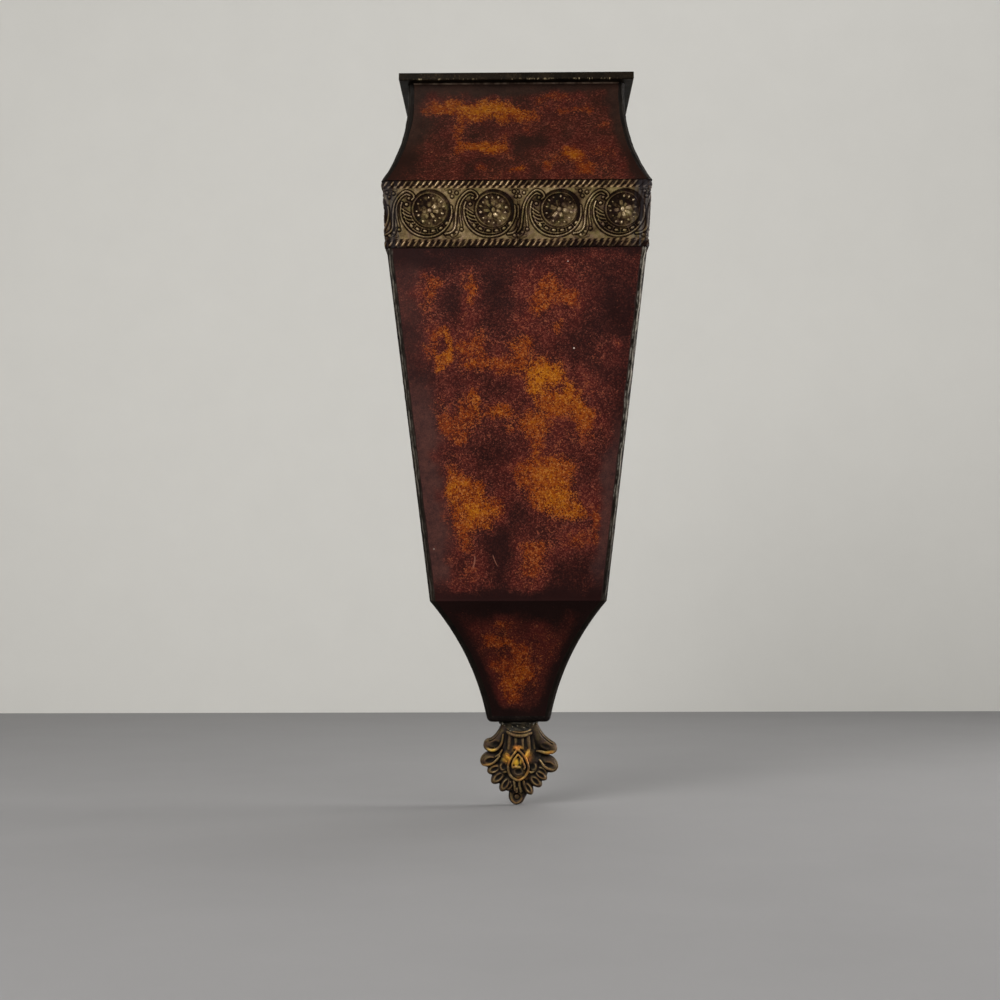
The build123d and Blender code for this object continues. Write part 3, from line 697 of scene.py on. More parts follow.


# ------------------------------------------------------------ tortoise dabs on the front
# (across, height, half width, half height, strength, warmth: 0 red-brown to 1 gold), mm
NECK_PATCHES = [
    (-64.9, -23.1, 8.8, 4.4, 0.62, 0.50),
    (-54.6, -21.6, 8.8, 4.4, 0.74, 0.62),
    (-42.9, -22.5, 7.3, 4.4, 0.72, 0.70),
    (-35.5, -22.5, 7.3, 4.4, 0.90, 0.95),
    (-25.2, -24.9, 8.8, 5.9, 0.92, 0.95),
    (-16.4, -21.9, 7.3, 4.4, 0.85, 0.85),
    (-6.1, -25.1, 6.6, 5.1, 0.88, 0.90),
    (2.7, -27.5, 6.6, 4.4, 0.78, 0.75),
    (10.0, -30.7, 6.6, 3.7, 0.68, 0.60),
    (-28.1, -32.0, 5.9, 4.4, 0.75, 0.70),
    (-39.9, -31.9, 4.4, 5.9, 0.60, 0.60),
    (-8.3, -32.9, 4.4, 3.7, 0.50, 0.60),
    (-42.0, -42.2, 4.4, 6.6, 0.55, 0.50),
    (-40.5, -52.8, 4.4, 5.1, 0.55, 0.60),
    (-44.0, -58.6, 3.6, 4.4, 0.50, 0.60),
    (-31.7, -52.9, 5.1, 3.6, 0.80, 0.75),
    (-22.9, -54.6, 6.6, 3.6, 0.82, 0.80),
    (-14.2, -53.0, 6.6, 4.4, 0.80, 0.75),
    (-7.6, -54.7, 4.4, 4.4, 0.65, 0.60),
    (-9.8, -43.3, 3.7, 5.9, 0.45, 0.40),
    (8.5, -40.2, 5.1, 3.7, 0.50, 0.40),
    (12.1, -44.3, 3.7, 2.9, 0.40, 0.30),
    (-23.6, -70.0, 4.6, 3.4, 0.68, 0.26),
    (-48.3, -66.1, 5.8, 3.6, 0.35, 0.30),
    (-33.8, -62.0, 7.3, 3.6, 0.35, 0.30),
    (39.6, -59.2, 5.1, 4.4, 0.85, 0.80),
    (36.1, -53.4, 3.6, 2.9, 0.60, 0.50),
    (44.6, -62.6, 5.1, 3.6, 0.60, 0.50),
    (48.1, -70.6, 6.5, 4.6, 0.74, 0.38),
    (53.0, -74.0, 4.6, 3.2, 0.62, 0.30),
    (20.6, -68.3, 4.0, 4.0, 0.70, 0.32),
    (28.7, -64.1, 7.3, 3.6, 0.45, 0.40),
    (60.8, -56.1, 8.7, 5.8, 0.42, 0.40),
    (1.8, -72.0, 6.5, 2.2, 0.82, 0.80),
    (-4.7, -62.2, 4.4, 1.3, 0.52, 0.60),
    (17.4, -14.8, 6.4, 3.4, 0.50, 0.04),
    (26.3, -13.8, 8.0, 3.6, 0.50, 0.00),
    (35.8, -14.2, 6.8, 3.8, 0.52, 0.00),
    (35.0, -25.4, 4.4, 3.7, 0.55, 0.20),
    (44.5, -23.9, 5.9, 2.2, 0.50, 0.40),
    (52.6, -22.4, 5.1, 3.7, 0.50, 0.40),
    (15.2, -19.0, 4.4, 2.9, 0.50, 0.50),
    (23.3, -23.7, 5.9, 2.9, 0.40, 0.40),
    (65.6, -38.2, 6.6, 5.1, 0.45, 0.30),
    (46.5, -41.3, 10.2, 5.9, 0.30, 0.15),
    (-63.2, -46.9, 10.2, 8.8, 0.30, 0.20),
    (-57.1, -59.3, 10.2, 5.8, 0.30, 0.10),
    (70.2, -57.8, 7.3, 7.3, 0.34, 0.25),
]
BODY_PATCHES = [
    (-61.2, -155.5, 6.0, 11.5, 0.72, 0.28),
    (-32.8, -159.3, 6.5, 10.8, 0.72, 0.50),
    (-40.4, -177.1, 5.0, 5.0, 0.45, 0.20),
    (-64.2, -171.2, 5.8, 5.0, 0.38, 0.10),
    (23.0, -156.7, 7.9, 8.6, 0.65, 0.42),
    (17.2, -168.1, 7.2, 6.5, 0.66, 0.42),
    (38.1, -166.1, 9.4, 5.8, 0.66, 0.22),
    (50.4, -149.7, 6.5, 7.9, 0.38, 0.20),
    (13.6, -174.5, 5.8, 4.3, 0.55, 0.40),
    (-67.2, -202.0, 6.5, 10.1, 0.48, 0.30),
    (-38.6, -201.4, 6.4, 6.5, 0.55, 0.40),
    (-30.5, -212.9, 10.1, 5.8, 0.60, 0.50),
    (-27.4, -198.4, 5.4, 10.6, 0.60, 0.34),
    (2.7, -198.7, 8.6, 5.8, 0.66, 0.55),
    (-12.5, -215.0, 9.0, 6.4, 0.66, 0.40),
    (1.2, -211.0, 7.4, 8.0, 0.64, 0.38),
    (29.4, -188.9, 4.4, 6.0, 0.60, 0.50),
    (60.3, -202.6, 7.2, 11.5, 0.38, 0.10),
    (72.5, -199.1, 3.6, 4.3, 0.50, 0.10),
    (-29.9, -237.2, 5.0, 8.7, 0.76, 0.70),
    (-36.2, -248.0, 7.6, 9.4, 0.66, 0.42),
    (-12.6, -247.3, 10.8, 4.3, 0.66, 0.60),
    (-50.4, -256.4, 8.7, 5.6, 0.70, 0.25),
    (11.6, -257.4, 8.7, 7.4, 0.80, 0.60),
    (-58.7, -232.8, 4.3, 7.2, 0.38, 0.20),
    (-40.8, -265.9, 6.5, 5.1, 0.78, 0.25),
    (12.5, -272.5, 6.5, 9.4, 0.56, 0.40),
    (48.6, -264.8, 8.7, 8.7, 0.42, 0.20),
    (18.2, -292.4, 12.3, 9.6, 0.86, 0.60),
    (30.4, -299.6, 8.4, 6.4, 0.80, 0.60),
    (32.0, -286.3, 9.4, 6.5, 0.74, 0.55),
    (25.4, -309.2, 10.1, 7.2, 0.96, 0.92),
    (38.4, -318.6, 10.1, 5.8, 0.88, 0.82),
    (12.4, -311.0, 7.2, 7.4, 0.50, 0.22),
    (2.4, -291.7, 6.4, 9.0, 0.60, 0.30),
    (-46.1, -302.5, 5.8, 8.7, 0.80, 0.70),
    (-34.5, -303.2, 10.1, 8.7, 0.70, 0.48),
    (-33.9, -316.9, 8.7, 7.9, 0.84, 0.80),
    (-21.6, -322.0, 8.7, 9.4, 0.80, 0.70),
    (-13.6, -312.7, 5.8, 6.5, 0.60, 0.50),
    (-37.5, -329.8, 7.2, 5.8, 0.68, 0.45),
    (-34.0, -341.4, 6.5, 6.5, 0.70, 0.35),
    (57.1, -324.4, 3.2, 7.2, 0.80, 0.00),
    (-42.4, -338.4, 7.0, 9.0, 0.42, 0.08),
    (-45.0, -322.0, 5.0, 8.0, 0.42, 0.10),
    (11.6, -345.9, 9.4, 6.5, 0.75, 0.30),
    (-1.4, -339.3, 8.0, 5.8, 0.48, 0.25),
    (43.3, -339.6, 10.8, 6.4, 0.52, 0.20),
    (-49.6, -288.8, 5.8, 5.8, 0.46, 0.30),
    (12.2, -358.1, 9.4, 8.7, 0.66, 0.08),
    (12.2, -374.0, 9.4, 5.8, 0.42, 0.05),
    (56.4, -340.2, 4.3, 6.5, 0.50, 0.00),
    (-23.2, -355.1, 8.7, 8.7, 0.26, 0.20),
    (-36.0, -364.3, 10.1, 10.1, 0.40, 0.10),
    (-34.9, -376.7, 10.1, 4.3, 0.36, 0.05),
    (-21.8, -373.8, 7.2, 5.1, 0.32, 0.10),
    (57.7, -368.3, 3.6, 5.8, 0.42, 0.05),
    (63.7, -289.3, 7.2, 21.6, 0.25, 0.05),
    (58.0, -239.1, 8.6, 11.5, 0.34, 0.15),
    (-5.5, -261.7, 5.8, 5.8, 0.50, 0.40),
    (-54.9, -188.4, 3.6, 2.9, 0.76, 0.70),
    (-51.3, -194.2, 2.9, 4.3, 0.82, 0.80),
    (-49.2, -202.8, 3.2, 5.8, 0.88, 0.88),
    (-50.7, -208.5, 3.6, 2.9, 0.82, 0.85),
    (-55.0, -212.8, 3.2, 2.9, 0.72, 0.75),
    (-57.2, -216.3, 2.9, 2.9, 0.62, 0.65),
    (-60.7, -192.0, 3.6, 4.3, 0.62, 0.32),
    (-58.6, -204.1, 3.2, 7.2, 0.58, 0.55),
    (19.9, -221.0, 10.1, 8.6, 1.00, 1.00),
    (14.9, -230.3, 5.0, 4.3, 0.95, 1.00),
    (27.9, -219.6, 5.0, 6.5, 0.88, 0.90),
    (36.5, -233.9, 6.5, 5.8, 0.88, 0.88),
    (42.2, -240.4, 5.8, 4.3, 0.78, 0.70),
    (45.8, -245.4, 6.5, 5.0, 0.84, 0.75),
    (30.7, -241.1, 8.0, 7.0, 0.80, 0.55),
    (21.3, -242.4, 7.2, 7.0, 0.78, 0.55),
    (47.0, -254.3, 5.4, 6.0, 0.74, 0.55),
    (56.7, -206.9, 4.3, 4.3, 0.50, 0.10),
    (73.2, -199.1, 3.6, 2.9, 0.52, 0.15),
    (65.3, -229.1, 2.9, 2.2, 0.50, 0.05),
    (-49.0, -302.5, 4.3, 5.8, 0.84, 0.85),
    (-38.8, -298.2, 4.3, 2.9, 0.72, 0.80),
    (-26.6, -305.4, 3.6, 6.5, 0.82, 0.75),
    (-33.9, -316.9, 4.3, 6.5, 0.92, 0.95),
    (-34.6, -327.7, 3.3, 5.1, 0.82, 0.70),
    (-20.2, -329.9, 4.3, 3.6, 0.84, 0.75),
    (-12.2, -320.6, 3.6, 5.8, 0.74, 0.60),
]
TAIL_PATCHES = [
    (-19.4, -413.8, 6.6, 4.6, 0.64, 0.28),
    (-8.3, -412.4, 6.6, 3.7, 0.60, 0.35),
    (1.2, -418.3, 6.6, 6.6, 0.52, 0.25),
    (-11.4, -430.8, 9.6, 6.6, 0.60, 0.14),
    (2.6, -425.7, 5.9, 6.6, 0.54, 0.28),
    (3.3, -437.0, 6.0, 6.4, 0.82, 0.55),
    (-5.9, -444.6, 6.0, 6.8, 0.82, 0.45),
    (-3.6, -456.4, 6.6, 5.6, 0.70, 0.35),
    (-13.5, -424.2, 7.3, 5.9, 0.30, 0.10),
    (23.9, -420.6, 11.7, 11.7, 0.34, 0.05),
    (-10.4, -399.0, 9.0, 7.4, 0.50, 0.26),
    (12.9, -402.2, 10.9, 5.8, 0.26, 0.12),
    (8.5, -448.7, 8.9, 8.9, 0.28, 0.10),
    (19.5, -448.7, 7.4, 8.9, 0.16, 0.05),
]
NECK_SHADES = [
    (12.8, -49.1, 9.5, 4.4, 1.00),
    (8.0, -50.0, 7.0, 4.0, 0.70),
    (-0.4, -55.6, 4.4, 3.6, 0.70),
    (36.2, -43.6, 5.1, 3.7, 0.70),
    (13.3, -71.6, 5.1, 5.8, 0.60),
    (5.7, -16.6, 4.4, 2.6, 0.70),
    (-29.6, -41.5, 5.1, 4.4, 0.60),
    (-16.4, -37.4, 5.1, 2.9, 0.65),
    (-22.9, -63.7, 11.6, 3.3, 0.75),
    (-53.3, -68.6, 4.4, 4.4, 0.50),
    (-33.0, -73.0, 3.6, 4.3, 0.60),
    (53.7, -47.8, 6.6, 4.4, 0.40),
    (-63.3, -37.3, 8.8, 5.9, 0.40),
    (-66.2, -76.1, 13.0, 3.6, 0.50),
]
# the entries at heights -137 to -141 darken the strip just under the band: painted shadow of the band; the others are
# dark places in the pattern
BODY_SHADES = [
    (-15.6, -161.0, 7.2, 15.0, 0.95),
    (66.8, -171.2, 10.1, 14.4, 0.90),
    (44.5, -203.2, 8.6, 8.6, 0.60),
    (-17.6, -229.4, 12.3, 6.5, 0.66),
    (-14.2, -277.6, 10.1, 8.7, 0.42),
    (-27.2, -278.1, 7.2, 5.8, 0.40),
    (-13.7, -341.4, 8.0, 9.4, 0.90),
    (-46.9, -169.2, 5.8, 7.2, 0.60),
    (52.1, -295.0, 7.2, 8.7, 0.55),
    (-33.7, -137.1, 18.7, 4.3, 0.60),
    (-1.4, -137.3, 17.3, 5.0, 0.50),
    (59.7, -140.5, 7.2, 7.2, 0.40),
    (-3.9, -271.6, 8.7, 5.8, 0.35),
    (2.3, -321.3, 7.2, 6.5, 0.60),
    (30.3, -366.8, 10.1, 10.1, 0.50),
    (-11.7, -375.3, 5.8, 7.2, 0.60),
    (44.7, -379.1, 14.5, 5.1, 0.70),
    (-56.0, -270.8, 6.5, 5.8, 0.40),
    (-54.2, -200.6, 2.2, 3.6, 0.70),
    (28.5, -229.6, 3.6, 2.2, 0.55),
    (59.5, -218.3, 5.0, 4.3, 0.60),
    (71.7, -249.1, 6.4, 11.0, 0.80),
    (71.4, -219.0, 6.4, 8.6, 0.65),
    (-52.0, -226.6, 9.0, 5.6, 0.55),
    (-13.2, -360.4, 5.4, 9.0, 0.80),
    (45.6, -362.6, 8.6, 6.6, 0.50),
    (51.6, -239.0, 3.6, 2.2, 0.55),
    (-1.4, -320.6, 7.2, 6.5, 0.60),
    (-15.0, -301.2, 6.5, 5.1, 0.55),
    (-17.3, -340.7, 9.4, 7.2, 0.70),
    (-66.9, -139.8, 10.1, 5.0, 0.80),
    (-58.0, -139.5, 17.0, 5.6, 0.90),
    (72.5, -172.0, 8.0, 16.0, 0.85),
    (-14.0, -160.0, 9.0, 13.0, 0.55),
    (-47.0, -166.0, 5.4, 10.0, 0.65),
    (47.0, -364.0, 13.0, 9.0, 0.55),
    (76.0, -141.0, 12.0, 7.0, 0.40),
    (43.7, -200.4, 8.6, 8.6, 0.55),
]


def dabs(x, z, patches, shades, seed):
    """Amount of amber (0-1) and its warmth from soft ragged dabs, less the shaded places."""
    wx = x + 7.0 * (fbm(x / 11.0 + 40, z / 11.0 + 40, seed) - 0.5) + 4.5 * (fbm(x / 4.5 + 9, z / 4.5, seed + 7) - 0.5)
    wz = z + 7.0 * (fbm(x / 11.0 + 70, z / 11.0 + 20, seed + 3) - 0.5) + 4.5 * (fbm(x / 4.5, z / 4.5 + 5, seed + 9) - 0.5)
    power, warm, weight = np.zeros_like(x), np.zeros_like(x), np.full_like(x, 1e-4)
    for cx, cz, rx, rz, strength, warmth in patches:
        q = ((wx - cx) / rx) ** 2 + ((wz - cz) / rz) ** 2
        g = strength * (0.64 * np.exp(-0.7 * q) + 0.36 * np.exp(-0.5 * q / 1.9**2))
        power += g**3
        warm += g * g * warmth
        weight += g * g
    amount, bare = np.cbrt(power), np.ones_like(x)
    for cx, cz, rx, rz, strength in shades:
        q = ((wx - cx) / (1.35 * rx)) ** 2 + ((wz - cz) / (1.35 * rz)) ** 2
        bare *= 1.0 - 0.72 * strength * np.exp(-0.6 * q**1.1)
    return np.clip(amount * bare, 0, 1), warm / weight, bare


def side_dabs(seed, depth, top, bot):
    """Dabs for a side sheet, in the same hand as the front: clusters of amber with red edges."""
    r = np.random.RandomState(seed)
    patches, shades = [], []
    clusters = max(3, int((top - bot) * depth / 1500.0))
    for k in range(clusters):
        cx = -depth * (0.2 + 0.6 * r.rand())
        cz = top - (top - bot) * (k + 0.2 + 0.6 * r.rand()) / clusters
        bright, warmth = 0.5 + 0.5 * r.rand(), r.rand()
        for _ in range(r.randint(3, 6)):
            patches.append(
                (
                    cx + r.normal(0, 9),
                    cz + r.normal(0, 10),
                    5 + 7 * r.rand(),
                    5 + 7 * r.rand(),
                    bright * (0.6 + 0.4 * r.rand()),
                    np.clip(warmth + r.normal(0, 0.2), 0, 1),
                )
            )
        shades.append((-depth * r.rand(), top - (top - bot) * r.rand(), 8 + 6 * r.rand(), 8 + 6 * r.rand(), 0.8))
    return patches, shades


def front_density(tier, x, z, half, top, bot):
    """Amber amount, its warmth and painted sheen on a front sheet, with its dark painted borders; the dark strip just
    under the band and the darkening down from the tail's top edge are painted shade.
    """
    ragged = fbm(x / 9.0 + 31, z / 9.0 + 12, 83) - 0.5
    broad = fbm(x / 24.0 + 11, z / 24.0 + 42, 87) - 0.5
    left = x + half + 10.0 * ragged + 14.0 * broad
    right = half - x + 8.0 * ragged - 8.0 * broad
    below, above = top - z + 8.0 * ragged + 9.0 * broad, z - bot + 10.0 * ragged + 8.0 * broad
    painted_sheen = np.zeros_like(x)
    if tier == "neck":
        amount, warmth, bare = dabs(x, z, NECK_PATCHES, NECK_SHADES, 11)
        below = below + 4.0 * smooth(2, 26, x)
        fade = smooth(4, 12, below) * smooth(2, 13, left) * smooth(3, 12, right) * smooth(0, 5, above)
        ground = 0.25 * (0.12 + 0.88 * smooth(5, 15, below) * smooth(2, 18, left) * smooth(2, 14, right))
        # painted sheen: a dull veil under the rim and down the left and right edges
        painted_sheen = np.maximum(0.75 * smooth(15, 5, below), 0.85 * smooth(19, 4, left) * smooth(-64, -38, z))
        painted_sheen = np.maximum(painted_sheen, 0.7 * smooth(13, 3, right) * smooth(-62, -40, z))
    elif tier == "body":
        amount, warmth, bare = dabs(x, z, BODY_PATCHES, BODY_SHADES, 23)
        # the ground and amber fading out just under the band are the band's painted shadow
        below = BAND_BOT - z + 7.0 * ragged + 8.0 * broad
        down = smooth(-190, -250, z)
        fade = smooth(1, 12, below) * smooth(3 + 4 * down, 11 + 9 * down, left) * smooth(2, 9, right) * smooth(2, 14, above)
        ground = 0.28 * (0.15 + 0.85 * smooth(-1, 10, below)) * (0.05 + 0.95 * smooth(1, 15, above))
        ground = ground * (0.45 + 0.55 * smooth(2, 18, left)) * (0.55 + 0.45 * smooth(2, 12, right))
        # painted sheen: a dull veil along the left and right edges, and a little at the top left
        painted_sheen = 0.85 * smooth(25, 4, left) * smooth(-206, -262, z) + 0.4 * smooth(20, 6, left) * smooth(-136, -150, z)
        painted_sheen = np.maximum(painted_sheen, 0.86 * smooth(13, 3, right) * smooth(-240, -285, z)) * smooth(bot + 4, bot + 26, z)
    else:
        amount, warmth, bare = dabs(x, z, TAIL_PATCHES, [], 37)
        near = half - np.abs(x) + 5.0 * ragged
        # the darkening down from the tail's top edge is painted shade, where the sheet faces down
        fade = smooth(2, 21, below) * smooth(0, 11, near) * smooth(4, 14, above)
        ground = 0.3 * smooth(0, 34, below) * smooth(0, 15, near) * smooth(1, 12, above)
    vary = 0.6 + 0.8 * fbm(x / 17.0 + 5, z / 17.0, 71)
    return np.clip(np.maximum(amount * fade, ground * vary * bare), 0, 1), warmth, np.clip(painted_sheen, 0, 1)


def side_density(seed, y, z, depth, top, bot, tier):
    patches, shades = side_dabs(seed, float(np.max(depth)), top, bot)
    amount, warmth, bare = dabs(y, z, patches, shades, seed + 5)
    near = np.minimum(depth + y, -y)
    low, high = smooth(bot + 2, bot + 18, z), smooth(top - 2, top - 18, z)
    if tier == "body":
        high = smooth(-134, -148, z)
    fade = smooth(3, 13, near) * low * high
    ground = 0.26 * (0.4 + 0.6 * smooth(2, 12, near)) * (0.2 + 0.8 * low * high)
    vary = 0.6 + 0.8 * fbm(y / 17.0 + 5, z / 17.0, seed + 9)
    # painted sheen along the side sheet's front edge
    painted_sheen = 0.6 * smooth(14, 6, depth + y) * low * high
    return np.clip(np.maximum(amount * fade, ground * vary * bare), 0, 1), warmth, painted_sheen


# ------------------------------------------------------------ sheets of the three tiers
def tier_rows(tier, step=2.0):
    top, bot = TIERS[tier][:2]
    hem = np.array([0.0, 0.3, 0.6, 0.9, 1.3, 1.9])
    if tier == "body":
        upper = np.linspace(top, BAND_BOT, int((top - BAND_BOT) / 4.0))
        lower = np.linspace(BAND_BOT, bot + 1.9, int((BAND_BOT - bot) / step))
        return np.concatenate([upper[:-1], lower[:-1], bot + hem[::-1]])
    inner = np.linspace(top - 1.9, bot + 1.9, int((top - bot) / step))
    return np.concatenate([top - hem[:-1], inner, bot + hem[::-1][1:]])


def make_sheet(tier, face):
    top, bot, wf, df = TIERS[tier]
    z = tier_rows(tier, 1.5 if face == "front" else 2.0)
    w, d = wf(z)[:, None], df(z)[:, None]
    zz = z[:, None]
    if face == "front":
        u = np.linspace(-1, 1, 2 * int(float(w.max()) / 1.5) + 1)[None, :]
        across = u * (w - SEAM)
        density, hue, painted_sheen = front_density(tier, across, zz + 0 * across, (w - SEAM) + 0 * across, top, bot)
        edge = np.minimum((w - SEAM) - np.abs(across), np.minimum(top - zz, zz - bot) + 0 * across)
    else:
        v = np.linspace(0, 1, int(float(d.max()) / 2.0) + 1)[None, :]
        across = -(d - SEAM) * (1.0 - v)
        seed = {"neck": 101, "body": 131, "tail": 161}[tier] + (0 if face == "right" else 13)
        density, hue, painted_sheen = side_density(seed, across, zz + 0 * across, (d - SEAM) + 0 * across, top, bot, tier)
        edge = np.minimum(np.minimum(-across, across + (d - SEAM)), np.minimum(top - zz, zz - bot) + 0 * across)
    zfull = zz + 0 * across
    seed = {"front": 3, "left": 5, "right": 8}[face] + {"neck": 0, "body": 20, "tail": 40}[tier]
    dent = 0.32 * smooth(0, 14, edge) * fbm(across / 38.0 + 3, zfull / 46.0 + 8, seed, 3)
    dent = dent + 0.05 * smooth(0, 5, edge) * fbm(across / 5.0 + 3, zfull / 6.0 + 8, seed + 2, 2)
    lip = np.zeros_like(zfull)
    if tier == "neck":
        lip = 0.45 * smooth(1.1, 0.35, top - zfull)
    if tier == "body":
        lip = 0.1 * smooth(1.5, 0.5, zfull - bot)
    out = lip - dent
    if face == "front":
        outer = np.stack([across, -(d + out), zfull], -1)
        inner = np.stack([across, -(d + 0 * across - SHEET - dent), zfull], -1)
    elif face == "right":
        outer = np.stack([w + out, across, zfull], -1)
        inner = np.stack([w + 0 * across - SHEET - dent, across, zfull], -1)
    else:
        outer = np.stack([-(w + out), across, zfull], -1)[:, ::-1]
        inner = np.stack([-(w + 0 * across - SHEET - dent), across, zfull], -1)[:, ::-1]
        density, hue, painted_sheen = density[:, ::-1], hue[:, ::-1], painted_sheen[:, ::-1]
    verts, quads, uv, code = shell(outer, inner)
    both = lambda a: np.concatenate([a.ravel(), np.zeros(a.size)])
    node = f"{tier}_{face}"
    obj = add_piece(
        f"{node}_sheet", verts, [quads], [{"neck": NECK_TORTOISE, "body": TORTOISE, "tail": TAIL_TORTOISE}[tier], LINING, BLACK_PAINT], code,
        {"amber": both(density), "warmth": both(hue), "painted_sheen": both(painted_sheen)}, uv,
    )
    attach(obj, "vase")
    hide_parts(node)
    return obj


def make_seam(tier, side):
    """Rounded corner bead, lumpy with solder, lapping a little over both sheets."""
    top, bot, wf, df = TIERS[tier]
    z = np.linspace(top, bot, int((top - bot) / 1.1))
    w, d = wf(z), df(z)
    seed = {"neck": 301, "body": 321, "tail": 341}[tier] + (0 if side == "right" else 9)
    bare = np.ones_like(z) if tier != "body" else smooth(BAND_BOT + 1.0, BAND_BOT - 3.0, z)
    # share of the ridge shown light, as bare metal and painted highlight: highest on the body's right-hand seam
    bare_and_highlight_share = {"neck": 0.06, "body": 0.9 if side == "right" else 0.62, "tail": 0.1}[tier]
    ring, across, lumps = [], [], []

    def place(x, y, a, lump=0.0):
        ring.append(np.stack([x + 0 * z, y + 0 * z, z], -1))
        across.append(np.full_like(z, a))
        lumps.append(lump + 0 * z)

    lap = bare * (0.15 + 1.1 * fbm(z / 7.0 + 4, 0 * z + 2.5, seed, 3) ** 2)
    place(w - SEAM - lap, -d - 0.03, 0.0)
    place(w - SEAM - 0.3 * lap, -d - 0.22 * bare, 0.08)
    for k in range(12):
        a = math.radians(90.0 * k / 11.0)
        n = fbm(z / 5.5 + 11, 0 * z + 0.9 * k / 4.0, seed + 3, 3)
        lump = bare * (0.75 * (n - 0.38))
        r = SEAM_R + lump
        place(w - SEAM_R + r * math.sin(a), -d + SEAM_R - r * math.cos(a), 0.14 + 0.72 * k / 11.0, n)
    lap = bare * (0.15 + 1.1 * fbm(z / 7.0 + 24, 0 * z + 7.5, seed + 1, 3) ** 2)
    place(w + 0.22 * bare, -d + SEAM + 0.3 * lap, 0.92)
    place(w + 0.03, -d + SEAM + lap, 1.0)
    place(w - SHEET, -d + SEAM, 0.5)
    place(w - SEAM, -d + SEAM, 0.5)
    place(w - SEAM, -d + SHEET, 0.5)
    pts = np.stack(ring, 1)
    rows, n = pts.shape[:2]
    if side == "left":
        pts = pts[:, ::-1] * np.array([-1.0, 1.0, 1.0])
        across.reverse()
        lumps.reverse()
    index = np.arange(rows * n).reshape(rows, n)
    wrap = np.concatenate([index, index[:, :1]], 1)
    quads = grid_quads(wrap)
    uv = grid_uv(rows, n + 1, 0.01, 0.9, 0.01, 0.99)
    heads = np.array([pts[0].mean(0), pts[-1].mean(0)])
    a, b = rows * n, rows * n + 1
    k = np.arange(n)
    k1 = (k + 1) % n
    top_tris = np.stack([np.full(n, a), index[0, k], index[0, k1]], -1)
    bot_tris = np.stack([np.full(n, b), index[-1, k1], index[-1, k]], -1)

    def disc(cx, cy):
        t = 2 * math.pi * np.arange(n + 1) / n
        rim = np.stack([cx + 0.03 * np.cos(t), cy + 0.03 * np.sin(t)], -1)
        return np.stack([np.tile([cx, cy], (n, 1)), rim[:-1], rim[1:]], 1)

    loops = np.concatenate([uv.reshape(-1, 2), disc(0.95, 0.9).reshape(-1, 2), disc(0.95, 0.8)[:, [0, 2, 1]].reshape(-1, 2)])
    flat = lambda rows_: np.concatenate([np.stack(rows_, 1).ravel(), [0.5, 0.5]])
    node = f"{tier}_seam_{side}"
    obj = add_piece(
        f"{node}_bead", np.concatenate([pts.reshape(-1, 3), heads]), [quads, top_tris, bot_tris], [SOLDER],
        None, {"across": flat(across), "lump": flat(lumps), "bare": flat([bare_and_highlight_share + 0 * z] * n)}, loops, 50.0,
    )
    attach(obj, "vase")
    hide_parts(node)
    return obj


for tier in ("neck", "body", "tail"):
    for face in ("front", "left", "right"):
        make_sheet(tier, face)
    for side in ("left", "right"):
        make_seam(tier, side)


# ------------------------------------------------------------ stamped trim: rinceau, rosettes and rope borders
PITCH, FIRST = 45.4, -17.0  # spacing of the rosettes along the band, and the place of one
ROSETTE_T = 27.0  # height of the rosettes above the band's lower edge
BAND_H = BAND_TOP - BAND_BOT
ROPE_LOW, ROPE_HIGH = 6.0, 42.9  # the rope borders end and begin here


